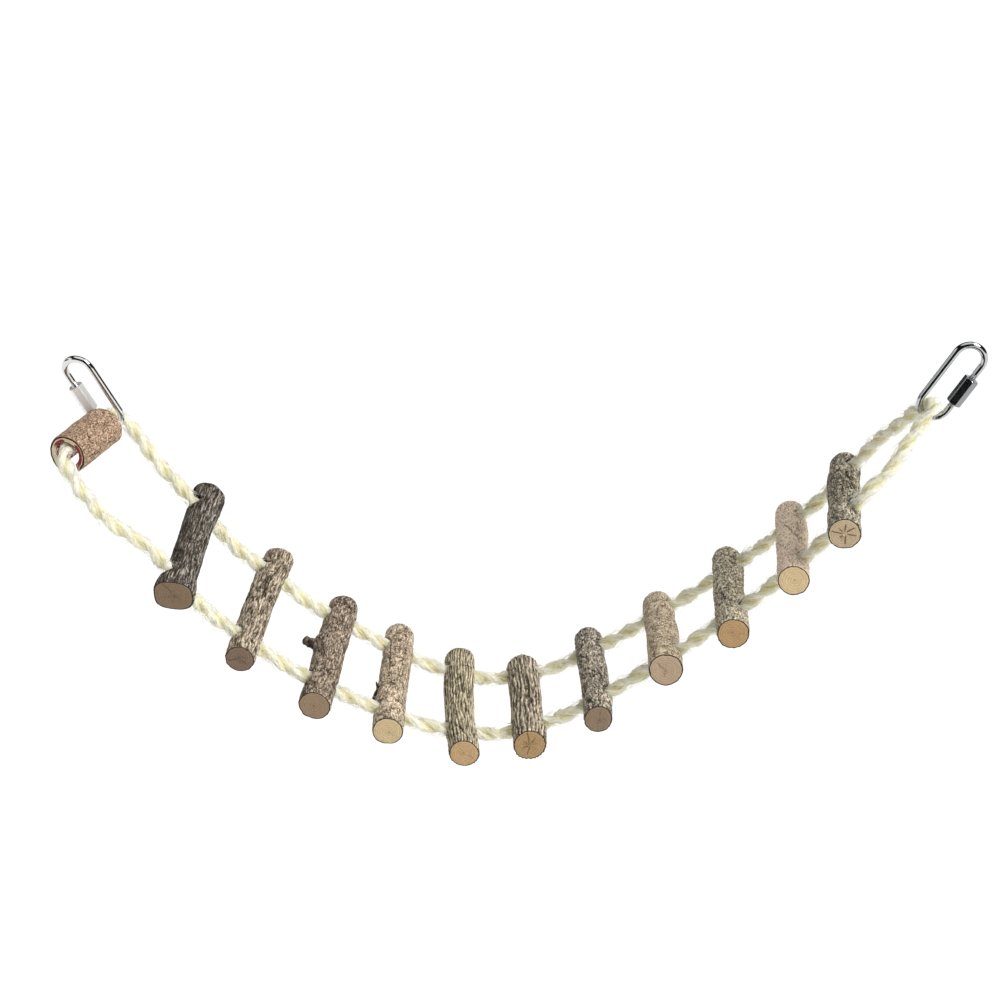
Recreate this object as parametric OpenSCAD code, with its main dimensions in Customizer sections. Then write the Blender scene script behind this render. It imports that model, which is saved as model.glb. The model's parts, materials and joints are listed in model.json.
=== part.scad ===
// Hanging ladder of natural branch rungs on two runs of twisted sisal rope.
// X runs along the ladder from left to right, Y across it (the rungs), Z up. Millimetres.
// The origin is the middle of the left link's eye, where a hook holds the ladder.

/* [Ladder chain] */
// rope length that belongs to each rung, left to right [mm]
pitch = [44, 46, 35, 34, 33, 32, 39, 39, 39, 35, 34]; // 30 to 50 each
// slope of that rope at each rung, rising to the right is positive [deg]
slope = [-54, -41, -32, -27, -12, 15, 32, 36, 39, 45, 53]; // -60 to 60 each
// rise of the far rope over the near rope at each bend, left to right [deg]
tilt = [13, 9, 6, 5, 3, -1, -4, -6, -5.5, -4, -4.5, -4.5]; // -15 to 15 each
// swing of the far rope to the right at each bend, left to right [deg]
yaw = [5, 8.5, 8.5, 4.5, 0, -2.5, -1.5, -1, 2, 5.5, 7, 9]; // -15 to 15 each
// half the distance between the two ropes
rope_half = 25; // [20:1:40]
// first bend of the chain, measured from the middle of the sleeve
first_bend = [31, 0, -36.5]; // any

/* [Rungs] */
// length from the middle to the near end [mm]
near_len = [36, 39, 41.5, 38.5, 43.5, 41, 44.5, 37.5, 44, 38, 43.5]; // 30 to 50 each
// length from the middle to the far end [mm]
far_len = [37, 38.5, 36, 38, 37, 32, 38, 35, 37.5, 37.5, 35.5]; // 30 to 50 each
// radius at the near end [mm]
near_r = [8.8, 6.8, 7.5, 7.2, 6.9, 7.5, 6.4, 7.8, 7.1, 7, 7.3]; // 6 to 9 each
// radius in the middle [mm]
mid_r = [6.8, 6.6, 7.2, 7, 6.8, 7.3, 6.5, 7.3, 7, 6.9, 7.2]; // 6 to 8 each
// radius at the far end [mm]
far_r = [7.4, 7, 7, 7, 7, 7.4, 6.6, 7, 6.9, 6.9, 7]; // 6 to 8 each
// broken edge at both saw cuts
edge = 0.5; // [0.2:0.1:1]
// diameter of the rope holes
hole_d = 7.2; // [6.8:0.1:8]

/* [Rope] */
// rope diameter, quarter inch sisal
rope_d = 6.4; // [5:0.1:8]
// space left between two neighbouring stretches at a bend
bend_gap = 0.65; // [0.4:0.05:1]

/* [Half-log sleeve] */
// outside diameter
sleeve_d = 19; // [14:0.5:22]
// length
sleeve_len = 32.5; // [25:0.5:40]
// diameter of the inner channel
channel_d = 10.8; // [7:0.1:12]
// how far the channel's middle lies under the sleeve's
channel_drop = -0.5; // [-1:0.1:1]
// width of the open mouth
mouth_w = 10; // [6.6:0.1:10.6]
// swing of the sleeve to the right, seen from above [deg]
sleeve_yaw = 20.8; // [0:0.1:40]
// height of the rope over the middle of the channel
rope_lift = 2.5; // [0:0.05:2.6]

/* [Quick links] */
// wire diameter
wire_d = 3.2; // [3:0.1:4]
// length over the bends
link_len = 42; // [36:1:50]
// width over the legs
link_w = 17; // [14:0.5:20]
// nut size across the flats
nut_af = 6.4; // [6:0.1:7.5]
// nut length
nut_len = 14; // [12:0.5:16]
// distance from the upper bend's middle to the closed nut
nut_from_top = 6.8; // [6.8:0.1:8]
// opening between the two wire ends under the nut
gate = 5.4; // [4.5:0.1:6]
// wire held in the nut's lower end when closed
grip = 2.2; // [1.5:0.1:4]
// radial clearance of the nut on the wire
nut_clear = 0.06; // [0.02:0.01:0.1]
// left link: direction from its lower bend to its upper bend
left_up = [-0.42, -0.12, 0.9]; // unit-like
// left link: distance from the middle of the sleeve
left_off = 21.5; // [20:0.1:24]
// right link: direction from its lower bend to its upper bend
right_up = [0.524, 0, 0.852]; // unit-like
// right link: middle of the wire at the lower bend, measured from the middle of the sleeve
right_foot = [378.1, 0, 12.5]; // any

/* [Hidden] */
rope_r = rope_d / 2;
wire_r = wire_d / 2;
bend_r = link_w / 2 - wire_r;
leg_len = link_len - link_w;
function unit(v) = v / norm(v);
function hdir(i) = [sin(yaw[i]) * cos(tilt[i]), cos(yaw[i]) * cos(tilt[i]), sin(tilt[i])];
function mix(a, b, t) = a + (b - a) * t;

// the sleeve's axis, the rope on the left link, and the shift that puts the left eye at the origin
sleeve_ax = [sin(sleeve_yaw), cos(sleeve_yaw), 0];
left_l = unit(left_up);
left_x = unit(cross(sleeve_ax, left_l));
left_rope = left_off * sleeve_ax + [0, 0, rope_lift];
left_foot = left_rope - (rope_r + wire_r + 0.35) / norm(cross(sleeve_ax, left_l)) * left_l;
eye_shift = -(left_foot + (bend_r + leg_len / 2) * left_l);

// bends of the chain: V[0] .. V[11]
function walk(i) = i == 0 ? first_bend
    : walk(i - 1) + pitch[i - 1] * [cos(slope[i - 1]), 0, sin(slope[i - 1])];
V = [for (i = [0:11]) walk(i)];
front = [for (i = [0:11]) V[i] - rope_half * hdir(i)];
back = [for (i = [0:11]) V[i] + rope_half * hdir(i)];
function rung_c(i) = (V[i] + V[i + 1]) / 2;
function rung_u(i) = unit(hdir(i) + hdir(i + 1));
dome_back = rope_r + bend_gap / 2;

// route of the rope through the sleeve, from the near side to the far side
left_way = [
    [17.3, -24, -33.5], [9.3, -23.6, -26.5], [3.2, -22.9, -18.5], [-2.2, -22.4, -9.5], [-5.6, -21.8, -2.2],
    [-6.8, -18.6, 1.7], [-5.5, -14.5, 2.5], [0, 0, 2.5], [5.5, 14.5, 2.5], [7.4, 19.4, 2.5],
    [9.2, 24, 1.7], [12.8, 27, -2.8], [17.4, 27, -8.4], [23.2, 25.4, -17.5], [28.2, 24.7, -25]
];
// route of the rope round the right link, from the near side to the far side
right_way = [
    [360.9, -19.8, -4.4], [367.8, -14, 3.6], [373.4, -9, 9.9], [377.9, -5.7, 14.2], [380.4, -3.3, 16.7],
    [381.4, 0, 17.4], [380.4, 3.3, 16.6], [377.9, 5.7, 13.9], [373.3, 9.6, 8], [367.9, 15, -0.9], [361.6, 20.2, -9.5]
];
// smooth curve through the points, n steps a stretch
function crom(a, b, c, d, t) = 0.5 * (2 * b + (c - a) * t + (2 * a - 5 * b + 4 * c - d) * t * t + (3 * b - a - 3 * c + d) * t * t * t);
function curve(p, n) = [for (i = [0:len(p) - 2]) for (k = [0:n - 1])
    crom(p[max(i - 1, 0)], p[i], p[i + 1], p[min(i + 2, len(p) - 1)], k / n), p[len(p) - 1]];
function off(a, toward) = a + dome_back * unit(toward - a);

module between(p, q) {
    d = q - p;
    translate(p) rotate([0, acos(d[2] / norm(d)), atan2(d[1], d[0])]) children();
}
// rotation that sends X to x, Y to y and Z to z, then moves to o
module frame_at(o, x, y, z) {
    multmatrix([[x[0], y[0], z[0], o[0]], [x[1], y[1], z[1], o[1]], [x[2], y[2], z[2], o[2]], [0, 0, 0, 1]])
        children();
}
module placed() { translate(eye_shift) children(); }

// one stretch of rope through a rung, domed at both bends
module rope_stretch(p, q) {
    d = unit(q - p);
    a = p + dome_back * d;
    b = q - dome_back * d;
    l = norm(b - a);
    between(a, b) rotate_extrude($fn = 48) polygon(concat(
        [for (k = [0:15:90]) [rope_r * sin(k), -rope_r * cos(k)]],
        [for (k = [90:-15:0]) [rope_r * sin(k), l + rope_r * cos(k)]]));
}
module hole(i) {
    for (s = [front, back]) {
        d = unit(s[i + 1] - s[i]);
        m = (s[i] + s[i + 1]) / 2;
        between(m - 14 * d, m + 14 * d) cylinder(d = hole_d, h = 28, $fn = 48);
    }
}
// one branch piece, drilled for both ropes
module rung(i) {
    u = rung_u(i);
    c = rung_c(i);
    placed() difference() {
        union() {
            between(c - near_len[i] * u, c) rotate_extrude($fn = 64) polygon([
                [0, 0], [near_r[i] - edge, 0], [near_r[i], edge],
                [mix(near_r[i], mid_r[i], 0.8), edge + 13], [mid_r[i], near_len[i]],
                [far_r[i], near_len[i] + far_len[i] - edge],
                [far_r[i] - edge, near_len[i] + far_len[i]], [0, near_len[i] + far_len[i]]]);
            if (i == 2) twig(c + 3 * u, [-0.93, -0.2, 0.32], 2.6, 1.6, 10.5);
            if (i == 3) twig(c - 8 * u, [-0.8, -0.5, 0.33], 1.4, 0.5, 8.6);
        }
        hole(i);
    }
}
// stub of a side twig
module twig(p, d, ra, rb, l) { between(p, p + l * unit(d)) cylinder(r1 = ra, r2 = rb, h = l, $fn = 32); }

// rope as a round tube along a list of points, domed at both ends
module rope_tube(path, r, sides) {
    m = len(path);
    first = unit(path[0] - path[1]);
    last = unit(path[m - 1] - path[m - 2]);
    pts = concat([for (k = [80, 55, 28]) path[0] + r * sin(k) * first], path,
        [for (k = [28, 55, 80]) path[m - 1] + r * sin(k) * last]);
    rad = concat([for (k = [80, 55, 28]) r * cos(k)], [for (k = [0:m - 1]) r], [for (k = [28, 55, 80]) r * cos(k)]);
    n = len(pts);
    tang = [for (k = [0:n - 1]) unit(pts[min(k + 1, n - 1)] - pts[max(k - 1, 0)])];
    ring = [for (k = [0:n - 1]) let (t = tang[k], s = unit(cross(t, [0.2, 0.1, 0.97])), w = cross(s, t))
        for (j = [0:sides - 1]) pts[k] + rad[k] * (cos(360 * j / sides) * s + sin(360 * j / sides) * w)];
    walls = [for (k = [0:n - 2]) for (j = [0:sides - 1]) for (h = [0, 1])
        let (a = k * sides + j, b = k * sides + (j + 1) % sides)
        h == 0 ? [a, b + sides, a + sides] : [a, b, b + sides]];
    caps = [for (j = [1:sides - 2]) for (h = [0, 1])
        h == 0 ? [0, j + 1, j] : [(n - 1) * sides, (n - 1) * sides + j, (n - 1) * sides + j + 1]];
    polyhedron(points = ring, faces = concat(walls, caps), convexity = 10);
}
module left_bight() {
    color([0.87, 0.85, 0.72]) placed()
        rope_tube(curve(concat([off(front[0], left_way[0])], left_way, [off(back[0], left_way[14])]), 3), rope_r, 14);
}
module right_bight() {
    color([0.87, 0.85, 0.72]) placed()
        rope_tube(curve(concat([off(front[11], right_way[0])], right_way, [off(back[11], right_way[10])]), 3), rope_r, 14);
}
// C-shaped piece of branch that rides on the left bight, its mouth facing down
module sleeve_log() {
    color([0.55, 0.45, 0.37]) placed()
        frame_at(-sleeve_len / 2 * sleeve_ax, [cos(sleeve_yaw), -sin(sleeve_yaw), 0], [0, 0, 1], sleeve_ax)
            mirror([1, 0, 0]) difference() {
                union() {
                    cylinder(d1 = sleeve_d - 2 * edge, d2 = sleeve_d, h = edge, $fn = 72);
                    translate([0, 0, edge]) cylinder(d = sleeve_d, h = sleeve_len - 2 * edge, $fn = 72);
                    translate([0, 0, sleeve_len - edge]) cylinder(d1 = sleeve_d, d2 = sleeve_d - 2 * edge, h = edge, $fn = 72);
                }
                translate([0, -channel_drop, -1]) cylinder(d = channel_d, h = sleeve_len + 2, $fn = 72);
                translate([-mouth_w / 2, -sleeve_d, -1]) cube([mouth_w, sleeve_d, sleeve_len + 2]);
            }
}
// wire of a quick link in its own frame: Z from the lower to the upper bend, the gated leg on -X
module link_wire() {
    top = bend_r + leg_len;
    g0 = top - nut_from_top - nut_len + grip;
    translate([0, 0, top]) rotate([90, 0, 0]) rotate_extrude(angle = 180, $fn = 96)
        translate([bend_r, 0]) circle(r = wire_r, $fn = 32);
    translate([0, 0, bend_r]) rotate([90, 180, 0]) rotate_extrude(angle = 180, $fn = 96)
        translate([bend_r, 0]) circle(r = wire_r, $fn = 32);
    translate([bend_r, 0, bend_r]) cylinder(r = wire_r, h = leg_len, $fn = 32);
    translate([-bend_r, 0, bend_r]) cylinder(r = wire_r, h = g0 - bend_r, $fn = 32);
    translate([-bend_r, 0, g0 + gate]) cylinder(r = wire_r, h = top - g0 - gate, $fn = 32);
}
// hexagonal sleeve nut that closes the link, chamfered at both ends
module link_nut() {
    z0 = bend_r + leg_len - nut_from_top - nut_len;
    translate([-bend_r, 0, z0]) difference() {
        intersection() {
            cylinder(r = nut_af / 2 / cos(30), h = nut_len, $fn = 6);
            union() {
                cylinder(r1 = nut_af / 2 - 0.1, r2 = nut_af / 2 + 0.5, h = 0.6, $fn = 48);
                translate([0, 0, 0.6]) cylinder(r = nut_af / 2 + 0.5, h = nut_len - 1.2, $fn = 48);
                translate([0, 0, nut_len - 0.6]) cylinder(r1 = nut_af / 2 + 0.5, r2 = nut_af / 2 - 0.1, h = 0.6, $fn = 48);
            }
        }
        translate([0, 0, -1]) cylinder(r = wire_r + nut_clear, h = nut_len + 2, $fn = 48);
    }
}
// left link: leans a little over the sleeve's end, gated leg on the outer side
module left_frame() { placed() frame_at(left_foot, left_x, cross(left_l, left_x), left_l) children(); }
// right link: upright plane along the ladder, gated leg on the outer side
module right_frame() { placed() frame_at(right_foot, -cross([0, 1, 0], unit(right_up)), [0, -1, 0], unit(right_up)) children(); }
module left_link() { color([0.75, 0.76, 0.78]) left_frame() link_wire(); }
module left_nut() { color([0.85, 0.86, 0.88]) left_frame() link_nut(); }
module right_link() { color([0.75, 0.76, 0.78]) right_frame() link_wire(); }
module right_nut() { color([0.6, 0.61, 0.63]) right_frame() link_nut(); }

module rung_01() { color([0.42, 0.38, 0.34]) rung(0); }
module rung_02() { color([0.58, 0.53, 0.46]) rung(1); }
module rung_03() { color([0.57, 0.51, 0.45]) rung(2); }
module rung_04() { color([0.68, 0.61, 0.52]) rung(3); }
module rung_05() { color([0.54, 0.50, 0.43]) rung(4); }
module rung_06() { color([0.52, 0.49, 0.42]) rung(5); }
module rung_07() { color([0.51, 0.48, 0.43]) rung(6); }
module rung_08() { color([0.68, 0.62, 0.53]) rung(7); }
module rung_09() { color([0.58, 0.55, 0.48]) rung(8); }
module rung_10() { color([0.70, 0.63, 0.53]) rung(9); }
module rung_11() { color([0.54, 0.52, 0.45]) rung(10); }
module stretch(side, i) { color([0.87, 0.85, 0.72]) placed() rope_stretch(side[i], side[i + 1]); }
module front_rope_01() { stretch(front, 0); }
module front_rope_02() { stretch(front, 1); }
module front_rope_03() { stretch(front, 2); }
module front_rope_04() { stretch(front, 3); }
module front_rope_05() { stretch(front, 4); }
module front_rope_06() { stretch(front, 5); }
module front_rope_07() { stretch(front, 6); }
module front_rope_08() { stretch(front, 7); }
module front_rope_09() { stretch(front, 8); }
module front_rope_10() { stretch(front, 9); }
module front_rope_11() { stretch(front, 10); }
module back_rope_01() { stretch(back, 0); }
module back_rope_02() { stretch(back, 1); }
module back_rope_03() { stretch(back, 2); }
module back_rope_04() { stretch(back, 3); }
module back_rope_05() { stretch(back, 4); }
module back_rope_06() { stretch(back, 5); }
module back_rope_07() { stretch(back, 6); }
module back_rope_08() { stretch(back, 7); }
module back_rope_09() { stretch(back, 8); }
module back_rope_10() { stretch(back, 9); }
module back_rope_11() { stretch(back, 10); }

rung_01();
rung_02();
rung_03();
rung_04();
rung_05();
rung_06();
rung_07();
rung_08();
rung_09();
rung_10();
rung_11();
front_rope_01();
front_rope_02();
front_rope_03();
front_rope_04();
front_rope_05();
front_rope_06();
front_rope_07();
front_rope_08();
front_rope_09();
front_rope_10();
front_rope_11();
back_rope_01();
back_rope_02();
back_rope_03();
back_rope_04();
back_rope_05();
back_rope_06();
back_rope_07();
back_rope_08();
back_rope_09();
back_rope_10();
back_rope_11();
left_bight();
right_bight();
sleeve_log();
left_link();
left_nut();
right_link();
right_nut();
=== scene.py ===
import bmesh
import bpy
import json
import math
import numpy as np
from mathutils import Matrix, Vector


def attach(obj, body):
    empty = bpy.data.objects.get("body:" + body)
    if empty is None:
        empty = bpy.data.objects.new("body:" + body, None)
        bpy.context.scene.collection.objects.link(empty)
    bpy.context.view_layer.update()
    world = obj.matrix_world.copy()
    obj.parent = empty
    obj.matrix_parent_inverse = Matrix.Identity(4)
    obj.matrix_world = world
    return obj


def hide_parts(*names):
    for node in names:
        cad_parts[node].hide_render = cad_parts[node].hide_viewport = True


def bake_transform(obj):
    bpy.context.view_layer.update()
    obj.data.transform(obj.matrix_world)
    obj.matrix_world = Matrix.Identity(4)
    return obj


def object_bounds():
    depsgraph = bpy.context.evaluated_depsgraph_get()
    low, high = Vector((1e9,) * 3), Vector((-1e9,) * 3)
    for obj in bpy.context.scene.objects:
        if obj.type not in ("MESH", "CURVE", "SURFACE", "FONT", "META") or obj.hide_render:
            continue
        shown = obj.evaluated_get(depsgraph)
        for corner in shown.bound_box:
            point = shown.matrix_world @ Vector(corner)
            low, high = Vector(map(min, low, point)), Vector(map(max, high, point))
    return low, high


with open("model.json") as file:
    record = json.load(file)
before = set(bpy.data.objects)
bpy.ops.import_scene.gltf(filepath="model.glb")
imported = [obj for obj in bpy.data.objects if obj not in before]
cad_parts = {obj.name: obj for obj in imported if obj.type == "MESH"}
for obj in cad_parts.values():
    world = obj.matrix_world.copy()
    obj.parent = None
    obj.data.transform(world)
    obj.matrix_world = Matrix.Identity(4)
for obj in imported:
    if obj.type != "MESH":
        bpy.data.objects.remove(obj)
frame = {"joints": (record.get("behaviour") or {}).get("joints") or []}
cad_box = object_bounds()

# The script works in millimetres. MM takes them to the metres of the frame and of Blender.
MM = 0.001
TURN = 2 * math.pi
RUNGS = 11
HALF_WIDTH = 25.0  # from the middle of the ladder to the middle of either side rope


# ---------------------------------------------------------------- small geometry
def unit(v):
    v = np.asarray(v, float)
    return v / np.linalg.norm(v)


def metres(p):
    return tuple(p * MM)


def wrap(angle):
    """An angle brought to within half a turn of zero."""
    return (angle + math.pi) % TURN - math.pi


def turned(along, across, degrees):
    """Two coordinates on a surface, turned to run along and across a mark on it."""
    c, s = math.cos(math.radians(degrees)), math.sin(math.radians(degrees))
    return along * c + across * s, -along * s + across * c


def angles(n):
    return np.arange(n) * TURN / n


# ---------------------------------------------------------------- facts from the frame
JOINTS = {j["name"]: j for j in frame["joints"]}


def bend_facts(i):
    """The place of the i-th bend, 0 the left end and RUNGS the right, and its axis, away from the viewer."""
    name = {0: "left_end_bend", RUNGS: "right_end_bend"}.get(i, "bend_%02d" % i)
    axis = unit(JOINTS[name]["axis"])
    return np.array(JOINTS[name]["pos_m"]) / MM, axis if axis[1] > 0 else -axis


BEND = np.array([bend_facts(i)[0] for i in range(RUNGS + 1)])
HINGE = np.array([bend_facts(i)[1] for i in range(RUNGS + 1)])
FRONT, BACK = BEND - HALF_WIDTH * HINGE, BEND + HALF_WIDTH * HINGE
RUNG_MID = (BEND[1:] + BEND[:-1]) / 2
RUNG_AXIS = np.array([unit(HINGE[i] + HINGE[i + 1]) for i in range(RUNGS)])
# The ends are laid out from a point by the left rope turn, which the first bend's place gives.
ORIGIN = BEND[0] - np.array([31, 0, -36.5])


# ---------------------------------------------------------------- noise
def lattice(ix, iy, iz, seed):
    """A value from -1 to 1 for each corner of a grid, always the same for the same seed."""
    n = (ix * 374761393 + iy * 668265263 + iz * 1274126177 + seed * 974634777) & 0xFFFFFFFF
    n = ((n ^ (n >> 13)) * 1274126177) & 0xFFFFFFFF
    n = (n ^ (n >> 16)) & 0xFFFFFFFF
    return n / 2147483647.5 - 1.0


def noise(p, seed=0):
    """Smooth noise from -1 to 1 at each point of p."""
    p = np.asarray(p, float)
    f = np.floor(p)
    i = f.astype(np.int64)
    w = p - f
    w = w * w * w * (w * (w * 6 - 15) + 10)
    out = 0
    for dx in (0, 1):
        for dy in (0, 1):
            for dz in (0, 1):
                k = w[..., 0] if dx else 1 - w[..., 0]
                k = k * (w[..., 1] if dy else 1 - w[..., 1])
                k = k * (w[..., 2] if dz else 1 - w[..., 2])
                out = out + k * lattice(i[..., 0] + dx, i[..., 1] + dy, i[..., 2] + dz, seed)
    return out


def noise_at(x, y, z, seed):
    return noise(np.stack(np.broadcast_arrays(x, y, z), -1), seed)


def fbm(p, octaves=3, seed=0):
    """Noise with finer, fainter noise added to it."""
    out, gain, total = 0, 1.0, 0
    for k in range(octaves):
        out = out + gain * noise(p * (2.03**k), seed + 17 * k)
        total += gain
        gain *= 0.5
    return out / total


def smooth(x, a, b):
    """0 below a, 1 above b and an easy rise between them."""
    t = np.clip((x - a) / (b - a), 0, 1)
    return t * t * (3 - 2 * t)


def scaled(p, across, along):
    """Points scaled for a pattern that differs along a piece and across it."""
    return p * np.array([across, across, along])


def ridged(p, seed, width=0.22):
    """Thin branching grooves: 1 on a groove, 0 away from it."""
    return 1 - smooth(np.abs(noise(p, seed)), 0.0, width)


# ---------------------------------------------------------------- lines and meshes
def crom(p, n):
    """The same smooth curve through the route's points that the frame uses."""
    p = np.asarray(p, float)
    out = []
    for i in range(len(p) - 1):
        a, b, c, d = p[max(i - 1, 0)], p[i], p[i + 1], p[min(i + 2, len(p) - 1)]
        for k in range(n):
            t = k / n
            bent = (2 * a - 5 * b + 4 * c - d) * t * t + (3 * b - a - 3 * c + d) * t**3
            out.append(0.5 * (2 * b + (c - a) * t + bent))
    return np.array(out + [p[-1]])


def lengths(p):
    """How far along a line each of its points lies."""
    return np.r_[0, np.cumsum(np.linalg.norm(np.diff(p, axis=0), axis=1))]


def points_at(p, d, s):
    """Points at the lengths s of the line p, whose own points lie at the lengths d."""
    return np.stack([np.interp(s, d, p[:, k]) for k in range(3)], -1)


def resample(p, step):
    d = lengths(p)
    s = np.linspace(0, d[-1], max(2, int(round(d[-1] / step)) + 1))
    return points_at(p, d, s), s


def tangents(path):
    t = np.gradient(path, axis=0)
    return t / np.linalg.norm(t, axis=1)[:, None]


def transport(path):
    """Tangents and a frame that doesn't spin about the path."""
    t = tangents(path)
    e = np.zeros_like(path)
    e[0] = unit(np.cross(t[0], [0.13, 0.2, 0.97]))
    for k in range(1, len(path)):
        e[k] = unit(e[k - 1] - t[k] * (e[k - 1] @ t[k]))
    return t, e, np.cross(t, e)


def around(line, r, angle, e1, e2):
    """Points at radius r and the given angle round each point of a line."""
    out = np.cos(angle)[..., None] * e1[:, None] + np.sin(angle)[..., None] * e2[:, None]
    return line[:, None] + r[..., None] * out


def grid_quads(rows, cols, base=0, flip=False):
    """Faces of a tube of rows rings with cols points each."""
    r, c = np.meshgrid(np.arange(rows - 1), np.arange(cols), indexing="ij")
    a = r * cols + c
    b = r * cols + (c + 1) % cols
    f = np.stack([a, b, b + cols, a + cols], -1).reshape(-1, 4) + base
    return f[:, ::-1] if flip else f


def end_fans(rows, cols):
    """Triangles that close a tube's two ends on the two vertices that follow its rings."""
    a = np.arange(cols)
    b = (a + 1) % cols
    last = (rows - 1) * cols
    tip = np.full(cols, rows * cols)
    return np.vstack([np.stack([b, a, tip], -1), np.stack([last + a, last + b, tip + 1], -1)])


def mark_sharp(me, count, rings):
    """Make the edges along each of the rings of vertex numbers sharp."""
    ring_of = np.full(count, -1)
    for k, ids in enumerate(rings):
        ring_of[ids] = k
    e = np.empty(len(me.edges) * 2, int)
    me.edges.foreach_get("vertices", e)
    start, end = ring_of[e.reshape(-1, 2)].T
    me.edges.foreach_set("use_edge_sharp", (start >= 0) & (start == end))


def build(name, verts, quads, tris=None, mats=(), mat_of=None, attrs=None, sharp=None):
    """A mesh object from vertices in millimetres. mat_of gives the material of each face, quads first."""
    me = bpy.data.meshes.new(name)
    verts = np.asarray(verts, float) * MM
    q = np.asarray(quads, int)
    t = np.zeros((0, 3), int) if tris is None else np.asarray(tris, int)
    me.vertices.add(len(verts))
    me.vertices.foreach_set("co", verts.ravel())
    loops = np.concatenate([q.ravel(), t.ravel()])
    me.loops.add(len(loops))
    me.loops.foreach_set("vertex_index", loops)
    me.polygons.add(len(q) + len(t))
    starts = np.concatenate([np.arange(len(q)) * 4, len(q) * 4 + np.arange(len(t)) * 3])
    me.polygons.foreach_set("loop_start", starts)
    for m in mats:
        me.materials.append(m)
    if mat_of is not None:
        me.polygons.foreach_set("material_index", np.asarray(mat_of, int))
    me.update(calc_edges=True)
    me.polygons.foreach_set("use_smooth", np.ones(len(q) + len(t), bool))
    if sharp is not None:
        mark_sharp(me, len(verts), sharp)
    for key, val in (attrs or {}).items():
        val = np.asarray(val, float)
        kind, field = ("FLOAT_VECTOR", "vector") if val.ndim == 2 else ("FLOAT", "value")
        me.attributes.new(key, kind, "POINT").data.foreach_set(field, val.ravel())
    ob = bpy.data.objects.new(name, me)
    bpy.context.scene.collection.objects.link(ob)
    return ob


VECTORS = ("rc", "fc", "rp")  # the point attributes that are vectors. All others are numbers.


class Gather:
    """Vertices with their attributes, gathered in order for one mesh."""

    def __init__(self):
        self.verts, self.attrs, self.count = [], {}, 0

    def add(self, verts, **attrs):
        """Add vertices, with attributes given for each of them or once for all. Gives their numbers."""
        verts = np.asarray(verts, float)
        for key, v in attrs.items():
            width = (3,) if key in VECTORS else ()
            v = np.broadcast_to(np.asarray(v, float), verts.shape[:-1] + width)
            self.attrs.setdefault(key, []).append(v.reshape((-1,) + width))
        self.verts.append(verts.reshape(-1, 3))
        first, self.count = self.count, self.count + len(self.verts[-1])
        return np.arange(first, self.count)

    def build(self, name, quads, tris, mats, mat_of=None, sharp=None):
        attrs = {key: np.concatenate(v) for key, v in self.attrs.items()}
        return build(name, np.vstack(self.verts), quads, tris, mats, mat_of, attrs, sharp)


def bind(ob, body, node):
    """A rigid piece: the body it rides on and the CAD node that it replaces, if any."""
    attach(ob, body)
    if node:
        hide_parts(node)


# ---------------------------------------------------------------- node trees
BLACK, WHITE = (0, 0, 0, 1), (1, 1, 1, 1)


def lin(c):
    """A colour of 0 to 255 as the renderer's linear colour."""
    c = np.asarray(c, float) / 255
    return tuple(np.where(c <= 0.04045, c / 12.92, ((c + 0.055) / 1.055) ** 2.4)) + (1.0,)


def tinted(c, gain, tint=(1, 1, 1), top=1.0):
    """A colour times a gain and a tint, with each channel held below top."""
    return tuple(min(top, gain * x * t) for x, t in zip(c, tint)) + (1,)


def shade(c, gain):
    """A colour made lighter or darker, held below white without losing its hue."""
    c = gain * np.asarray(c[:3], float)
    return tuple(float(x) for x in c * min(1.0, 0.9 / c.max()))


class Value:
    """What a node puts out. Sums and products of values make the math nodes for them."""

    def __init__(self, nodes, socket):
        self.nodes, self.socket = nodes, socket

    def __add__(self, other):
        return self.nodes.math("ADD", self, other)

    def __sub__(self, other):
        return self.nodes.math("SUBTRACT", self, other)

    def __radd__(self, other):
        return self.nodes.math("ADD", other, self)

    def __rsub__(self, other):
        return self.nodes.math("SUBTRACT", other, self)

    def __mul__(self, other):
        return self.nodes.math("MULTIPLY", self, other)


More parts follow.
